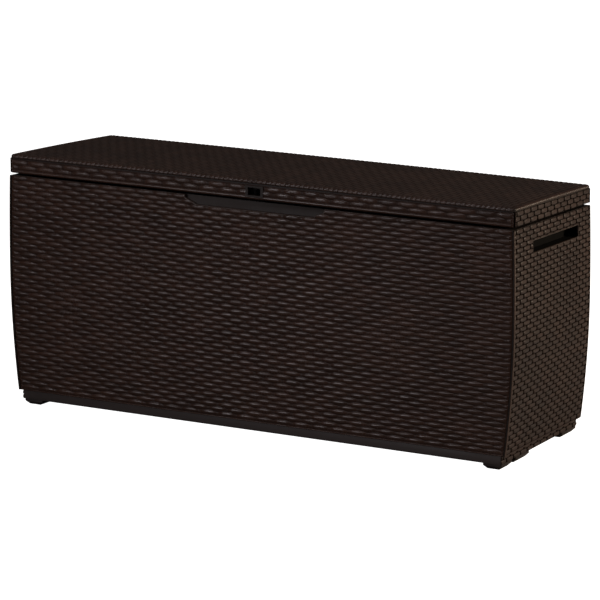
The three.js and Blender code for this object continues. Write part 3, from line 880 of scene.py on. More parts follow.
@dataclass(frozen=True)
class WovenFinish:
    """Resin strands: painted shade in the valleys and dives, lighter and smoother floats, each float a shade
    apart.
    """

    name: str
    crevice_shade_colour: tuple[float, float, float]
    low: tuple[float, float, float]
    high: tuple[float, float, float]
    rough: tuple[float, float]
    specular: float
    shadow: tuple[float, float]
    ridges: float = 5.0
    grain: float = 0.35
    dulling: float = 0.3
    bump_depth: float = 0.25 * MM
    bump_share: float = 0.55

    def make(self, mottle: bpy.types.NodeTree, ridges: bpy.types.NodeTree) -> bpy.types.Material:
        """Builds the material.

        Args:
            mottle: the shared mottle group.
            ridges: the shared strand ridge group.

        Returns:
            The finished material.
        """
        material, g, shader, place = start_material(self.name)
        strand = g.add("ShaderNodeAttribute", attribute_name="strand").outputs["Vector"]
        crest = g.add("ShaderNodeAttribute", attribute_name="crest").outputs["Fac"]
        cloud = mottled(g, mottle, place, self.low, self.high, self.rough)
        lines = g.add("ShaderNodeGroup", node_tree=ridges)
        g.feed(lines, Strand=strand, Vector=place, Ridges=self.ridges)
        parts = g.feed(g.add("ShaderNodeSeparateXYZ"), Vector=strand)
        tone = g.spread(parts.outputs["Z"], To_Min=0.8, To_Max=1.2)
        streak = g.spread(lines.outputs["Streak"], From_Min=0.3, From_Max=0.7, To_Min=0.82, To_Max=1.16)
        shade = g.grey(g.math("MULTIPLY", tone, streak))
        lit = g.mix(1.0, cloud.outputs["Color"], shade, "MULTIPLY")
        # Painted shade: where the crest is low, in the valleys and the dives, the colour falls to the deep
        # colour and the reflection is lowered with it.
        rise = g.add("ShaderNodeMapRange", interpolation_type="SMOOTHSTEP")
        clear_of_painted_shade = g.feed(rise, Value=crest, From_Min=self.shadow[0], From_Max=self.shadow[1]).outputs[0]
        deep_rough = g.math("MULTIPLY", g.math("SUBTRACT", 1.0, clear_of_painted_shade), self.dulling)
        rough = g.math("ADD", cloud.outputs["Roughness"], deep_rough, clamp=True)
        g.feed(shader, Base_Color=g.mix(clear_of_painted_shade, (*self.crevice_shade_colour, 1), lit), Roughness=rough)
        g.feed(shader, Specular_IOR_Level=g.math("MULTIPLY", clear_of_painted_shade, self.specular))
        grain = g.math("MULTIPLY", cloud.outputs["Height"], self.grain)
        bump(g, shader, g.math("ADD", lines.outputs["Height"], grain), self.bump_depth, self.bump_share)
        return material


@dataclass(frozen=True)
class ResinFinish:
    """Plain moulded resin with a fine grain."""

    name: str
    low: tuple[float, float, float]
    high: tuple[float, float, float]
    rough: tuple[float, float]
    specular: float = 0.5
    grain: float = 0.35
    bump_depth: float = 0.2 * MM

    def make(self, mottle: bpy.types.NodeTree) -> bpy.types.Material:
        """Builds the material.

        Args:
            mottle: the shared mottle group.

        Returns:
            The finished material.
        """
        material, g, shader, place = start_material(self.name)
        cloud = mottled(g, mottle, place, self.low, self.high, self.rough)
        g.feed(shader, Base_Color=cloud.outputs["Color"], Roughness=cloud.outputs["Roughness"])
        g.feed(shader, Specular_IOR_Level=self.specular)
        bump(g, shader, cloud.outputs["Height"], self.bump_depth, self.grain)
        return material


@dataclass(frozen=True)
class SteelFinish:
    """Zinc-plated steel: cloudy plating with dull spots."""

    name: str = "zinc_plate"
    low: tuple[float, float, float] = (0.42, 0.43, 0.44)
    high: tuple[float, float, float] = (0.66, 0.66, 0.64)
    dull: tuple[float, float, float] = (0.3, 0.3, 0.29)
    rough: tuple[float, float] = (0.26, 0.44)
    dulling: float = 0.3
    grain: float = 0.4
    bump_depth: float = 0.05 * MM

    def make(self, mottle: bpy.types.NodeTree) -> bpy.types.Material:
        """Builds the material.

        Args:
            mottle: the shared mottle group.

        Returns:
            The finished material.
        """
        material, g, shader, place = start_material(self.name)
        cloud = mottled(g, mottle, place, self.low, self.high, self.rough)
        spots = g.noise(place, scale=420.0, detail=4.0, rough=0.65)
        dull = g.spread(spots, From_Min=0.56, From_Max=0.7, To_Max=0.6)
        rough = g.math("ADD", cloud.outputs["Roughness"], g.math("MULTIPLY", dull, self.dulling))
        g.feed(shader, Base_Color=g.mix(dull, cloud.outputs["Color"], (*self.dull, 1)))
        g.feed(shader, Roughness=rough, Metallic=1.0)
        bump(g, shader, cloud.outputs["Height"], self.bump_depth, self.grain)
        return material


WALL_SHADES = {"low": (0.028, 0.0132, 0.0084), "high": (0.042, 0.0198, 0.0126)}
# Each woven finish's deep colour is painted shade for its valleys; the end finish paints it darker and over
# more of each strand than the front and back finish, standing in for the light falling across the ends.
WOVEN_FINISHES = {
    "woven": WovenFinish(
        "woven_skin", crevice_shade_colour=(0.014, 0.0072, 0.005), **WALL_SHADES,
        rough=(0.2, 0.3), specular=0.22, shadow=(-0.15, 0.5),
    ),
    "woven_end": WovenFinish(
        "woven_end_skin", crevice_shade_colour=(0.0036, 0.0018, 0.0011), **WALL_SHADES,
        rough=(0.28, 0.4), specular=0.46, shadow=(0.18, 0.84),
    ),
    "lid_top": WovenFinish(
        "lid_top_skin", crevice_shade_colour=(0.013, 0.007, 0.005), low=(0.025, 0.0128, 0.009), high=(0.037, 0.0195, 0.0138),
        rough=(0.46, 0.6), specular=0.4, shadow=(0.0, 0.6),
    ),
}
RESIN_FINISHES = {
    "carrier": ResinFinish("wall_resin", (0.011, 0.0068, 0.005), (0.018, 0.011, 0.008), (0.5, 0.66), 0.3),
    "plain": ResinFinish("floor_resin", (0.017, 0.0105, 0.0085), (0.026, 0.016, 0.013), (0.5, 0.66)),
    "trim": ResinFinish("trim_resin", (0.03, 0.0175, 0.012), (0.044, 0.026, 0.018), (0.36, 0.5), 0.5, 0.25),
    # Painted highlight: the corner strips are far lighter and glossier than the walls, standing in for the
    # key light catching the rounded front edge of each side wall.
    "corner": ResinFinish("corner_highlight_resin", (0.07, 0.043, 0.03), (0.1, 0.06, 0.043), (0.3, 0.42), 0.6, 0.25),
    "dark": ResinFinish("dark_resin_moulding", (0.006, 0.0045, 0.004), (0.011, 0.008, 0.007), (0.38, 0.56)),
    # Painted shade: near black with almost no reflection. On the handle cups it is a dark plastic darkened
    # further to stand in for the shade inside the slots; on the lock eye it stands in for the shade of the
    # lock pocket.
    "pocket": ResinFinish(
        "pocket_shade_resin", (0.0008, 0.0006, 0.0004), (0.0018, 0.0013, 0.0009), (0.7, 0.85), 0.06
    ),
}


@dataclass
class Finishes:
    """Every finish of the box, built once."""

    woven: bpy.types.Material = field(init=False)
    woven_end: bpy.types.Material = field(init=False)
    lid_top: bpy.types.Material = field(init=False)
    carrier: bpy.types.Material = field(init=False)
    plain: bpy.types.Material = field(init=False)
    trim: bpy.types.Material = field(init=False)
    corner: bpy.types.Material = field(init=False)
    dark: bpy.types.Material = field(init=False)
    pocket: bpy.types.Material = field(init=False)
    steel: bpy.types.Material = field(init=False)

    def __post_init__(self) -> None:
        """Builds the shared groups and the materials."""
        mottle, ridges = mottle_group(), ridge_group()
        for key, finish in WOVEN_FINISHES.items():
            setattr(self, key, finish.make(mottle, ridges))
        for key, finish in RESIN_FINISHES.items():
            setattr(self, key, finish.make(mottle))
        self.steel = SteelFinish().make(mottle)


# ---- The case ----


@dataclass
class WallCurve:
    """The side profile of the case: it bulges a little, then draws in towards the floor."""

    top_half: float = 615.1 * MM
    bulge: float = 2.9 * MM
    bulge_z: float = 340 * MM
    foot_half: float = 599.5 * MM
    low: float = 34 * MM
    high: float = 536 * MM

    def half_width(self, z: np.ndarray) -> np.ndarray:
        """Widest half width less a drop that grows with the square of the distance from the bulge.

        Args:
            z: heights.

        Returns:
            Half widths.
        """
        rise = z - self.bulge_z
        up = self.bulge * (rise / (self.high - self.bulge_z)) ** 2
        down = (self.top_half + self.bulge - self.foot_half) * (rise / (self.bulge_z - self.low)) ** 2
        return self.top_half + self.bulge - np.where(rise > 0, up, down)


@dataclass
class Case:
    """The four woven walls, the floor tray and the handle cups."""

    finishes: Finishes
    weave: Weave = field(default_factory=Weave)
    end_weave: Weave = field(default_factory=lambda: Weave(swell=0.05, dip=2.3 * MM, float_share=0.6))
    curve: WallCurve = field(default_factory=WallCurve)
    tray_weave: Weave = field(
        default_factory=lambda: Weave(
            pitch=9.6 * MM, swell=0.05, valley=2.2 * MM, dip=1.8 * MM, float_share=0.6
        )
    )
    tray_top: float = 33.4 * MM
    tray_strands: int = 2
    tray_margin: float = 1 * MM
    tray_bevel: float = 0.7 * MM
    draw_in: float = 3.0 * MM
    outer_depth: float = 0.9 * MM
    strand_top: float = 535.2 * MM
    strands: int = 48
    panel_gap: float = 4.8 * MM
    border: float = 4.6 * MM
    border_sink: float = 1.1 * MM
    tuck: float = 4 * MM
    end_tuck: float = 2.7 * MM
    trim_width: float = 2.6 * MM
    trim_drop: float = 0.2 * MM
    corner_width: float = 3.6 * MM
    corner_depth: float = 2.2 * MM
    corner_ends: tuple[float, float] = (1 * MM, 4 * MM)
    corner_points: int = 41
    recess_top: float = 169 * MM
    recess_low: float = 147 * MM
    recess_z: float = 515.5 * MM
    recess_foot: float = 3 * MM
    recess_shoulder: float = 9.5 * MM
    recess_strands: int = 2
    slot: tuple[float, float, float, float] = (-145 * MM, 170 * MM, 473 * MM, 499 * MM)
    slot_strands: tuple[float, float] = (3.5, 6)
    slot_round: float = 2.4 * MM
    hinge_pad: float = 38 * MM
    hinge_strands: int = 4
    hinge_corner: float = 2 * MM

    TOP_LIP: ClassVar[tuple] = ((0.5 * MM, -1.0 * MM), (0.8 * MM, -4.2 * MM))
    RECESS_UPPER: ClassVar[tuple] = ((0.0, 528.6 * MM), (-1.2 * MM, 527.1 * MM))
    RECESS_LOWER: ClassVar[tuple] = ((1.5 * MM, 518.6 * MM), (-0.6 * MM, 517.4 * MM))
    RECESS_FOOT: ClassVar[tuple] = ((-5.4 * MM, 0.3 * MM), (-8 * MM, 0.0))

    def build(self) -> None:
        """Builds and dresses every piece of the case."""
        self.front()
        self.back()
        for side, label in SIDES:
            self.side(side, label)
            self.tray_end(side, label)
        self.plain_parts()

    def lips(self) -> tuple[Lip, Lip]:
        """The top and the bottom lip of a wall."""
        return Lip(self.TOP_LIP), Lip.rounded(self.strand_low() - self.curve.low, self.tuck)

    def strand_low(self) -> float:
        """Height of the lowest strand boundary."""
        return self.strand_top - self.strands * self.weave.pitch

    def recess_half(self, z: np.ndarray) -> np.ndarray:
        """Half width of the finger recess at a height."""
        share = np.clip((z - self.recess_z - self.recess_foot) / self.recess_shoulder, 0, 1)
        return self.recess_low + (self.recess_top - self.recess_low) * share + self.trim_width / 2

    def recess_path(self) -> np.ndarray:
        """The trim's middle line round the finger recess: down one sloping side, along the foot and up again.

        Returns:
            (n, 2) points (X, Z), mirrored about X = 0.
        """
        r = self.trim_width / 2
        foot = self.recess_z - r
        (near, near_rise), (far, far_rise) = self.RECESS_FOOT
        half = [[self.recess_top + r, self.curve.high - self.trim_drop]]
        half += [[self.recess_top + out + r, z] for out, z in self.RECESS_UPPER]
        half += [[self.recess_low + out + r, z] for out, z in self.RECESS_LOWER]
        half += [[self.recess_low + near + r, foot + near_rise], [self.recess_low + far, foot + far_rise]]
        half = np.array(half)
        return np.vstack([half, (half * [-1, 1])[::-1]])

    def front(self) -> None:
        """The front wall: its drawn-in carrier, the woven skin and the trim round the finger recess."""
        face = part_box("front_panel")[0].y
        carrier = moulded_copy("front_panel", "front_wall", drawn_in(face, -1, self.draw_in))
        dress(carrier, self.finishes.carrier, Body.CASE)
        place = standing_wall(face, -1)

        def edges(z: np.ndarray) -> list[np.ndarray]:
            """Wall edge, both recess ends, wall edge."""
            out, rim = self.curve.half_width(z) - self.panel_gap - self.border, self.recess_half(z)
            return [-out, -rim, rim, out]

        low = self.strand_top - self.recess_strands * self.weave.pitch
        first, last = self.lips()
        sheet = WovenSheet(
            self.weave, self.strand_top, self.strands, -1, edges, place, (0, -1, 0), first, last,
            Lip.sunk(self.border, self.border_sink, self.tuck), Seed.FRONT,
            calm=[(low, -self.recess_low, self.recess_low)], holes=[(1, low, ABOVE_ALL)],
        )
        dress(sheet.build("front_weave"), self.finishes.woven, Body.CASE)
        path = self.recess_path()
        trim = bead("recess_trim", path, False, self.trim_width, self.draw_in, place, (0, -1, 0))
        dress(trim, self.finishes.trim, Body.CASE)

    def back(self) -> None:
        """The rear wall: carrier, woven skin with plain pads for the hinges, and a trim round each pad."""
        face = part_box("back_panel")[1].y
        carrier = moulded_copy("back_panel", "back_wall", drawn_in(face, 1, self.draw_in))
        dress(carrier, self.finishes.carrier, Body.CASE)
        place = standing_wall(face, 1)
        pads = [(x - self.hinge_pad, x + self.hinge_pad) for x in HINGE_X]

        def edges(z: np.ndarray) -> list[np.ndarray]:
            """Wall edges with both ends of each hinge pad between."""
            out = self.curve.half_width(z) - self.panel_gap - self.border
            return [-out, *(np.full_like(z, x) for pad in pads for x in pad), out]

        low = self.strand_top - self.hinge_strands * self.weave.pitch
        first, last = self.lips()
        sheet = WovenSheet(
            self.weave, self.strand_top, self.strands, -1, edges, place, (0, 1, 0), first, last,
            Lip.sunk(self.border, self.border_sink, self.tuck), Seed.BACK,
            calm=[(low, a, b) for a, b in pads], holes=[(span, low, ABOVE_ALL) for span in PAD_SPANS],
        )
        dress(sheet.build("back_weave"), self.finishes.woven, Body.CASE)
        top, r = self.curve.high - self.trim_drop, self.hinge_corner
        for number, (a, b) in enumerate(pads, 1):
            path = np.array([[a, top], [a, low + r], [a + r, low], [b - r, low], [b, low + r], [b, top]])
            name = f"hinge_pad_trim_{number}"
            trim = bead(name, path, False, self.trim_width, self.draw_in, place, (0, 1, 0))
            dress(trim, self.finishes.trim, Body.CASE)

    def side(self, side: int, label: str) -> None:
        """One side wall: curved carrier, woven skin, corner strip, and the trim round the handle slot.

        Args:
            side: -1 for the left end, 1 for the right.
            label: the side's name.
        """
        node = f"side_panel_{label}"
        low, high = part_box(node)

        def draw(points: np.ndarray) -> np.ndarray:
            """Outer curve moved in.

            Args:
                points: (n, 3) places, changed in place.

            Returns:
                The same array.
            """
            outer = np.abs(points[:, 0]) > self.curve.half_width(points[:, 2]) - self.outer_depth
            points[:, 0] = np.where(outer, points[:, 0] - side * self.draw_in, points[:, 0])
            return points

        carrier = moulded_copy(node, f"side_wall_{label}", draw)
        dress(carrier, self.finishes.carrier, Body.CASE)

        def place(along: np.ndarray, across: np.ndarray, height: np.ndarray) -> np.ndarray:
            """Along is Y, across is Z, and height stands out from the curved face."""
            return np.stack([side * (self.curve.half_width(across) + height), along, across], -1)

        def corner(along: np.ndarray, across: np.ndarray, height: np.ndarray) -> np.ndarray:
            """Along is the distance from the skin's middle, across is Z, and height stands out towards -Y."""
            x = self.curve.half_width(across) - self.corner_width / 2 + along
            return np.stack([side * x, np.full_like(along, low.y) - height, across], -1)

        y0, y1, z0, z1 = self.slot
        r = self.trim_width / 2
        columns = (low.y + self.border, y0 - r, y1 + r, high.y - self.border)
        upper, lower = self.slot_strands
        floor = self.strand_top - lower * self.weave.pitch
        ceiling = self.strand_top - upper * self.weave.pitch + self.weave.across[2] * self.weave.pitch / 2
        first, last = self.lips()
        sheet = WovenSheet(
            self.end_weave, self.strand_top, self.strands, -1, straight_edges(columns), place, (side, 0, 0),
            first, last, Lip.rounded(self.border, self.end_tuck), Seed.ENDS + side,
            calm=[(floor, y0, y1)], holes=[(1, floor, ceiling)],
        )
        dress(sheet.build(f"side_weave_{label}"), self.finishes.woven_end, Body.CASE)
        foot, head = self.corner_ends
        rise = np.linspace(self.curve.low + foot, self.curve.high - head, self.corner_points)
        path = np.stack([np.zeros_like(rise), rise], 1)
        name = f"corner_trim_{label}"
        edge = bead(name, path, False, self.corner_width, self.corner_depth, corner, (0, -1, 0))
        # The corner strip takes the corner finish, a painted highlight of the lit front edge.
        dress(edge, self.finishes.corner, Body.CASE)
        loop = rounded_loop(y0 - r, y1 + r, z0 - r, z1 + r, self.slot_round)
        trim = bead(f"handle_trim_{label}", loop, True, self.trim_width, self.draw_in, place, (side, 0, 0))
        dress(trim, self.finishes.trim, Body.CASE)

    def tray_end(self, side: int, label: str) -> None:
        """The two woven strands on the end of the floor tray, under a side wall.

        Args:
            side: -1 for the left end, 1 for the right.
            label: the side's name.
        """
        low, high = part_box("base_panel")
        w = self.tray_weave

        def place(along: np.ndarray, across: np.ndarray, height: np.ndarray) -> np.ndarray:
            """Along is Y, across is Z, and height stands out from the tray's end."""
            return np.stack([side * (high.x + w.valley + height), along, across], -1)

        tuck = Lip.tucked(w.valley - FACE_TOLERANCE)
        ends = straight_edges((low.y + self.tray_margin, high.y - self.tray_margin))
        sheet = WovenSheet(
            w, self.tray_top, self.tray_strands, -1, ends, place, (side, 0, 0), tuck, tuck, tuck,
            Seed.TRAY_ENDS + side,
        )
        dress(sheet.build(f"tray_weave_{label}"), self.finishes.woven_end, Body.CASE)

    def plain_parts(self) -> None:
        """The floor tray and the two handle cups, with softened edges."""
        tray = moulded_copy("base_panel", "floor_tray", bevel=self.tray_bevel)
        dress(tray, self.finishes.plain, Body.CASE)
        for _, label in SIDES:
            cup = moulded_copy(f"handle_cup_{label}", f"handle_pocket_{label}")
            # The cups take the pocket finish: dark plastic darkened into painted shade for the inside of the
            # slots.
            dress(cup, self.finishes.pocket, Body.CASE)


# ---- The lid ----


@dataclass
class Lid:
    """The woven lid: carrier, crowned top weave, strands turned over its edge, and four skirts."""

    finishes: Finishes
    half: float = 616 * MM
    front: float = -264 * MM
    back: float = 257 * MM
    edge: float = 584 * MM
    crown: float = 3 * MM
    crown_margin: float = 2 * MM
    low: float = 541.2 * MM
    draw_in: float = 2.4 * MM
    rim_depth: float = 4 * MM
    shell_bevel: float = 0.4 * MM
    liner_bevel: float = 0.6 * MM
    round: float = 6 * MM
    band: float = 12.4 * MM
    tuck: float = 3 * MM
    top_weave: Weave = field(
        default_factory=lambda: Weave(
            pitch=11.57 * MM, stake=22.9 * MM, swell=0.06, valley=0.9 * MM, dip=0.45 * MM
        )
    )
    skirt_weave: Weave = field(default_factory=lambda: Weave(pitch=11.0 * MM, valley=2.3 * MM, dip=1.8 * MM))
    end_weave: Weave = field(
        default_factory=lambda: Weave(
            pitch=11.0 * MM, swell=0.05, valley=2.3 * MM, dip=1.9 * MM, float_share=0.6
        )
    )
    edge_low: float = 574 * MM
    edge_end_rise: float = 1.4 * MM
    edge_relief: float = 1.1 * MM
    edge_corner: float = 12 * MM
    edge_pitch: float = 11.5 * MM
    edge_dip: float = 0.6 * MM
    edge_root: float = 2.2 * MM
    edge_row: float = 1.6 * MM
    edge_turns: int = 7
    front_strands: int = 2
    front_top: float = 571 * MM
    side_strands: int = 3
    side_top: float = 575.4 * MM
    skirt_end: float = 8 * MM
    side_end: float = 6 * MM
    skirt_border: float = 3.6 * MM
    skirt_tuck: float = 7 * MM
    lip_tuck: float = 4 * MM
    lock_half: float = 19 * MM
    lock_low: float = 548.9 * MM
    lock_high: float = 571.1 * MM
    below_all: float = 500 * MM
    hinge_pad: float = 35 * MM

    EDGE_SHARES: ClassVar[tuple] = (-1.0, -0.8, -0.42, 0.0, 0.42, 0.8)
    EDGE_FLAT: ClassVar[tuple] = (1.0, 0.94, 0.75, 0.5, 0.25, 0.0)
    EDGE_DOWN: ClassVar[tuple] = (0.45, 1.0)
    SKIRT_LIP: ClassVar[tuple] = ((0.4 * MM, -1.9 * MM), (2.2 * MM, -2.0 * MM), (2.6 * MM, -3.0 * MM))
    SIDE_LIP: ClassVar[tuple] = ((0.3 * MM, -3.5 * MM),)

    def build(self) -> None:
        """Builds and dresses every piece of the lid."""
        self.carrier()
        self.top()
        self.edge_strands()
        self.skirts()
        liner = moulded_copy("lid_liner", "lid_lining", bevel=self.liner_bevel)
        dress(liner, self.finishes.plain, Body.LID)

    def carrier(self) -> None:
        """The lid shell with its outer faces drawn in under the weave."""
        d = self.draw_in

        def draw(points: np.ndarray) -> np.ndarray:
            """Outer faces clamped to a smaller outline, and the crown lowered.

            Args:
                points: (n, 3) places, changed in place.

            Returns:
                The same array.
            """
            rim = points[:, 2] > self.edge - self.rim_depth
            points[:, 2] = np.where(rim, points[:, 2] - d, points[:, 2])
            points[:, 0] = np.clip(points[:, 0], -self.half + d, self.half - d)
            points[:, 1] = np.clip(points[:, 1], self.front + d, self.back - d)
            return points

        shell = moulded_copy("lid_shell", "lid_carrier", draw, self.shell_bevel)
        dress(shell, self.finishes.carrier, Body.LID)

    def crown_z(self, x: np.ndarray, y: np.ndarray) -> np.ndarray:
        """Edge height plus half the crown for each direction, falling as the square towards the edges.

        Args:
            x: places sideways.
            y: places front to back.

        Returns:
            Heights of the crowned top.
        """
        middle, margin = (self.front + self.back) / 2, 2 * self.crown_margin
        across_x = 1 - (2 * x / (2 * self.half + margin)) ** 2
        across_y = 1 - (2 * (y - middle) / (self.back - self.front + margin)) ** 2
        return self.edge + self.crown * (across_x + across_y) / 2

    def top(self) -> None:
        """The lid's crowned weave, whose strands run from front to back."""
        w = self.top_weave
        count = int((2 * self.half - 2 * self.band) / w.pitch)
        start = -count * w.pitch / 2
        ends = straight_edges((self.front + self.band, self.back - self.band))
        tuck = Lip.tucked(self.tuck)

        def place(along: np.ndarray, across: np.ndarray, height: np.ndarray) -> np.ndarray:
            """Along is Y, across is X, and height stands up from the crown."""
            return np.stack([across, along, self.crown_z(across, along) + height], -1)

        sheet = WovenSheet(w, start, count, 1, ends, place, (0, 0, 1), tuck, tuck, tuck, Seed.LID_TOP)
        dress(sheet.build("lid_top_weave"), self.finishes.lid_top, Body.LID)

    def edge_strands(self) -> None:
        """The strands turned over the lid's edge: a band of short dashes round its whole outline.

        The outline is a rectangle with quarter-circle corners walked by arc length s. Across it the
        band runs flat over the border, then down a quarter circle. Each strand is a half-round ridge
        in s whose crown dips at both ends.
        """
        corner = self.edge_corner
        straight = np.array([2 * (self.half - corner), self.back - self.front - 2 * corner])
        arc = math.pi / 2 * corner
        legs = np.array([straight[0], arc, straight[1], arc, straight[0], arc, straight[1], arc])
        total = legs.sum()
        count = int(round(total / self.edge_pitch))
        shares = np.array(self.EDGE_SHARES)
        s = ((np.arange(count)[:, None] + 0.5 + shares[None] / 2) * (total / count)).ravel()
        t = np.tile(shares, count)
        x, y, nx, ny = self._outline(s, legs, corner)
        inward, drop, lean = self._edge_section(nx)
        run = np.linspace(-1, 1, len(inward))[:, None]
        dip = self.edge_dip * np.abs(run) ** 3
        round_off = np.sqrt(np.clip(1 - t**2, 0, 1))[None]
        height = -self.edge_relief + (self.edge_relief - dip) * round_off
        tuck = np.zeros(len(inward))
        tuck[[0, -1]] = self.edge_root
        height = height - tuck[:, None]
        inset = inward - height * lean
        px, py = x[None] - inset * nx[None], y[None] - inset * ny[None]
        top = self.crown_z(np.clip(px, -self.half, self.half), np.clip(py, self.front, self.back))
        points = np.stack([px, py, top - drop + height * np.sqrt(1 - lean**2)], -1).reshape(-1, 3)
        faces = face_outwards(points, grid_faces(*px.shape, wrap=True), np.array((0.0, 0.0, 1.0)))
        made = make_mesh("lid_edge_strands", points, faces)
        rng = np.random.default_rng(Seed.LID_EDGE)
        tone = np.broadcast_to(np.repeat(rng.random(count), len(shares))[None], px.shape)
        ridge = np.broadcast_to((np.repeat(np.arange(count), len(shares)) + (1 - t) / 2)[None], px.shape)
        length = np.broadcast_to(np.cumsum(np.full(len(inward), self.edge_row))[:, None], px.shape)
        point_attribute(made.data, "strand", np.stack([length, ridge, tone], -1).reshape(-1, 3))
        # Crest: 1 on top of a dash, 0 where it tucks in; the finish paints shade where it is low.
        point_attribute(made.data, "crest", np.clip(1 + height / self.edge_root, 0, 1).ravel())
        dress(made, self.finishes.woven_end, Body.LID)

    def _edge_section(self, nx: np.ndarray) -> tuple:
        """The section of the edge band: flat over the border, a quarter circle, then straight down.

        Args:
            nx: sideways part of the outline's normal, by column.

        Returns:
            How far each point lies in from the face, how far below the top, and the share of its relief
            that points outwards, rows by columns.
        """
        columns = len(nx)
        flat = self.round + (self.band - self.round) * np.array(self.EDGE_FLAT)
        flat = np.repeat(flat[:, None], columns, 1)
        turn = np.repeat(np.linspace(0, math.pi / 2, self.edge_turns)[1:, None], columns, 1)
        fall = self.edge - self.round - (self.edge_low + self.edge_end_rise * nx**2)
        down = np.array(self.EDGE_DOWN)[:, None] * fall[None]
        inward = np.concatenate([flat, self.round * (1 - np.sin(turn)), 0 * down])
        drop = np.concatenate([np.zeros_like(flat), self.round * (1 - np.cos(turn)), self.round + down])
        lean = np.concatenate([np.zeros_like(flat), np.sin(turn), np.ones_like(down)])
        return inward, drop, lean

    def _outline(self, s: np.ndarray, legs: np.ndarray, corner: float) -> tuple:
        """Place and outward normal at arc length s round the lid's outline.

        Args:
            s: arc lengths from the left end of the front edge.
            legs: lengths of the four sides and four corners in turn.
            corner: corner radius.

        Returns:
            Arrays x, y, normal x and normal y.
        """
        ends = np.cumsum(legs)
        leg = np.searchsorted(ends, s, side="right").clip(0, 7)
        into = s - (ends - legs)[leg]
        quarter = (leg + 1) // 2
        sweep = np.where(leg % 2 == 1, into / corner, 0.0)
        turned = np.where(leg % 2 == 1, (leg // 2) * math.pi / 2 + sweep, quarter * math.pi / 2)
        heading = -math.pi / 2 + turned
        nx, ny = np.cos(heading), np.sin(heading)
        hx, y0, y1 = self.half - corner, self.front + corner, self.back - corner
        starts_x = np.array([-hx, hx, hx, hx, hx, -hx, -hx, -hx])
        starts_y = np.array([y0, y0, y0, y1, y1, y1, y1, y0])
        move = np.where(leg % 2 == 0, into, 0.0)
        x = starts_x[leg] - ny * move + nx * corner
        y = starts_y[leg] + nx * move + ny * corner
        return x, y, nx, ny

    def round_in(self, z: np.ndarray) -> np.ndarray:
        """How far the rounded upper edge lies in from the face at a height."""
        rise = np.clip(z - (self.edge - self.round), 0, self.round)
        return self.round - np.sqrt(np.clip(self.round**2 - rise**2, 0, None))

    def skirts(self) -> None:
        """Two strands along the front and back of the lid and three along its ends, plain at the corners."""
        reach = self.half - self.skirt_end
        lock = (-reach, -self.lock_half, self.lock_half, reach)
        pads = (-reach, *(x + s * self.hinge_pad for x in HINGE_X for s in (-1, 1)), reach)
        self._long_skirt("front", -1, lock, [(1, self.lock_low, self.lock_high)], Seed.LID_FRONT)
        self._long_skirt("back", 1, pads, [(s, self.below_all, ABOVE_ALL) for s in PAD_SPANS], Seed.LID_BACK)
        for side, label in SIDES:
            self._end_skirt(side, label)

    def _long_skirt(self, label: str, side: int, columns: Sequence[float], holes: list, seed: int) -> None:
        """The weave along the front or the back of the lid.

        Args:
            label: front or back.
            side: -1 where it faces -Y, 1 where it faces +Y.
            columns: its ends, with the ends of each cut-out between.
            holes: the cut-outs, as the sheet takes them.
            seed: seed of the strands' shades.
        """
        w, top = self.skirt_weave, self.front_top
        face = self.front if side < 0 else self.back

        def place(along: np.ndarray, across: np.ndarray, height: np.ndarray) -> np.ndarray:
            """Along is X, across is Z, and height stands out towards side * Y."""
            return np.stack([along, face - side * self.round_in(across) + side * height, across], -1)

        under = Lip.rounded(top - self.front_strands * w.pitch - self.low, self.lip_tuck)
        sheet = WovenSheet(
            w, top, self.front_strands, -1, straight_edges(columns), place, (0, side, 0),
            Lip(self.SKIRT_LIP), under, Lip.rounded(self.skirt_border, self.skirt_tuck), seed, holes=holes,
        )
        dress(sheet.build(f"lid_{label}_weave"), self.finishes.woven, Body.LID)

    def _end_skirt(self, side: int, label: str) -> None:
        """The weave along one end of the lid.

        Args:
            side: -1 for the left end, 1 for the right.
            label: the side's name.
        """

        def place(along: np.ndarray, across: np.ndarray, height: np.ndarray) -> np.ndarray:
            """Along is Y, across is Z, and height stands out sideways."""
            return np.stack([side * (self.half - self.round_in(across) + height), along, across], -1)

        ends = straight_edges((self.front + self.side_end, self.back - self.side_end))
        sheet = WovenSheet(
            self.end_weave, self.side_top, self.side_strands, -1, ends, place, (side, 0, 0),
            Lip.tucked(self.tuck), Lip(self.SIDE_LIP), Lip.rounded(self.skirt_border, self.skirt_tuck),
            Seed.LID_ENDS + side,
        )
        dress(sheet.build(f"lid_{label}_weave"), self.finishes.woven_end, Body.LID)


# ---- Fittings ----


@dataclass
class Fittings:
    """Hinges, stays, lock and screws: shown CAD pieces with better finishes."""

    STEEL_WORDS: ClassVar[tuple] = ("screw", "pin")

    finishes: Finishes

    def finish_of(self, node: str) -> bpy.types.Material:
        """The finish of a CAD node, by what its name says it is.

        Args:
            node: the node's name.

        Returns:
            Its material.
        """
        if any(word in node for word in self.STEEL_WORDS):
            return self.finishes.steel
        # The lock eye takes the pocket finish, painted shade for the inside of the lock pocket.
        lock = {"lock_eye": self.finishes.pocket, "lock_pocket": self.finishes.carrier}
        return lock.get(node, self.finishes.dark)

    def build(self) -> None:
        """Gives every shown CAD node its finish."""
        for body, nodes in frame["record"]["behaviour"]["bodies"].items():
            for node in nodes:
                shown = frame["nodes"][node]
                if shown.hide_render:
                    continue
                finish = self.finish_of(node)
                for place in range(len(shown.material_slots)):
                    shown.material_slots[place].material = finish
                if not shown.material_slots:
                    shown.data.materials.append(finish)
                log.info("fitting %s on %s", node, body)


# ---- Studio ----


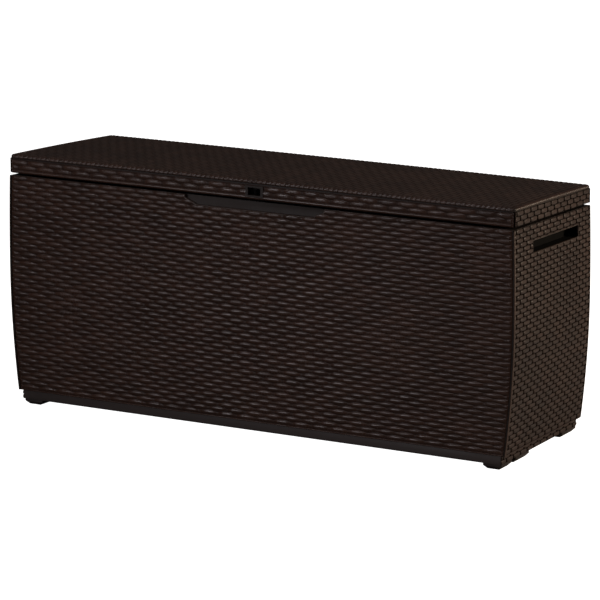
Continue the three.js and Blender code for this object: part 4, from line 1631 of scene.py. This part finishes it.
@dataclass
class Studio:
    """Pale floor, soft lights and the camera."""

    LIGHTS: ClassVar[tuple] = (
        ("key", (4.4, 2.4, 1.9), (0.5, 0, 0.3), 1.5, 165.0, (1.0, 0.82, 0.63)),
        ("front", (-1.9, -4.8, 1.5), (0, -0.2, 0.3), 1.0, 50.0, (1.0, 0.94, 0.98)),
        ("above", (0.6, -2.2, 4.0), (0, -0.2, 0.3), 2.0, 44.0, (1.0, 0.94, 0.96)),
    )
    CORNERS: ClassVar[tuple] = ((-1, -1), (1, -1), (1, 1), (-1, 1))

    eye: tuple[float, float, float] = (2.8749, -6.7363, 1.5145)
    yaw: float = 23.124
    pitch: float = 9.584
    lens: float = 192.07
    lean: float = 0.0521
    sensor: float = 36.0
    clip: tuple[float, float] = (0.1, 200.0)
    reach: float = 60.0
    paper: tuple[float, float] = (0.33, 0.36)
    paper_seen: float = 0.88
    paper_glow: float = 1.2
    paper_rough: float = 0.95
    air: float = 0.04

    def build(self) -> None:
        """Sets up floor, world, lights and camera."""
        self.floor()
        self.world()
        for row in self.LIGHTS:
            self.light(*row)
        self.camera()

    def floor(self) -> None:
        """A wide flat floor."""
        mesh = bpy.data.meshes.new("studio_floor")
        mesh.from_pydata([(self.reach * x, self.reach * y, 0) for x, y in self.CORNERS], [], [(0, 1, 2, 3)])
        floor = bpy.data.objects.new("studio_floor", mesh)
        bpy.context.scene.collection.objects.link(floor)
        mesh.materials.append(self.paper_material())

    def paper_material(self) -> bpy.types.Material:
        """Faintly mottled paper: a mid grey for the light it gives back, near white where it is looked at.

        Returns:
            The floor's material.
        """
        material, g, shader, place = start_material("studio_paper")
        tint = g.noise(place, scale=3.0, detail=3.0, rough=0.5)
        seen = g.add("ShaderNodeLightPath").outputs["Is Camera Ray"]
        tone = g.spread(tint, To_Min=self.paper[0], To_Max=self.paper[1])
        pale = g.math("MAXIMUM", tone, g.math("MULTIPLY", seen, self.paper_seen))
        g.feed(shader, Base_Color=g.grey(pale), Roughness=self.paper_rough, Specular_IOR_Level=0.0)
        glow = g.math("MULTIPLY", seen, self.paper_glow)
        g.feed(shader, Emission_Color=(1, 1, 1, 1), Emission_Strength=glow)
        return material

    def world(self) -> None:
        """White where it is looked at, dim grey for the light it gives."""
        world = bpy.data.worlds.new("studio_air")
        bpy.context.scene.world = world
        world.use_nodes = True
        world.node_tree.nodes.clear()
        g = Graph(world.node_tree)
        back = g.add("ShaderNodeBackground")
        seen = g.add("ShaderNodeLightPath").outputs["Is Camera Ray"]
        g.feed(back, Color=(1, 1, 1, 1), Strength=g.math("MAXIMUM", seen, self.air))
        g.feed(g.add("ShaderNodeOutputWorld"), Surface=back.outputs[0])

    def light(self, name: str, at: tuple, towards: tuple, size: float, power: float, colour: tuple) -> None:
        """One square soft light that points at a place.

        Args:
            name: the light's name.
            at: where it stands.
            towards: the place it points at.
            size: length of its sides.
            power: its power in watts.
            colour: its colour.
        """
        data = bpy.data.lights.new(name, "AREA")
        data.size, data.energy, data.color = size, power, colour
        lamp = bpy.data.objects.new(name, data)
        bpy.context.scene.collection.objects.link(lamp)
        lamp.location = at
        lamp.rotation_euler = (Vector(towards) - Vector(at)).to_track_quat("-Z", "Y").to_euler()

    def camera(self) -> None:
        """A long-lens camera that leans a little: its sideways axis rises by the lean."""
        data = bpy.data.cameras.new("studio_camera")
        data.sensor_width, data.lens = self.sensor, self.lens
        data.clip_start, data.clip_end = self.clip
        camera = bpy.data.objects.new("studio_camera", data)
        bpy.context.scene.collection.objects.link(camera)
        rig = bpy.data.objects.new("camera_rig", None)
        bpy.context.scene.collection.objects.link(rig)
        a, e = math.radians(self.yaw), math.radians(self.pitch)
        right = Vector((math.cos(a), math.sin(a), 0))
        back = Vector((math.sin(a) * math.cos(e), -math.cos(a) * math.cos(e), math.sin(e)))
        up = right.cross(-back)
        leaning = (right + self.lean * up).normalized()
        place = Matrix((leaning, up, back)).transposed().to_4x4()
        place.translation = Vector(self.eye)
        camera.parent = rig
        camera.matrix_parent_inverse = place
        bpy.context.scene.camera = camera


def main() -> None:
    """Builds the whole look and reports each sub-assembly."""
    logging.basicConfig(level=logging.INFO, format="%(name)s: %(message)s")
    bpy.context.scene.view_settings.view_transform = "Standard"
    finishes = Finishes()
    for part in (Case(finishes), Lid(finishes), Fittings(finishes), Studio()):
        part.build()
        log.info("built %s", type(part).__name__)


if __name__ == "__main__":
    main()
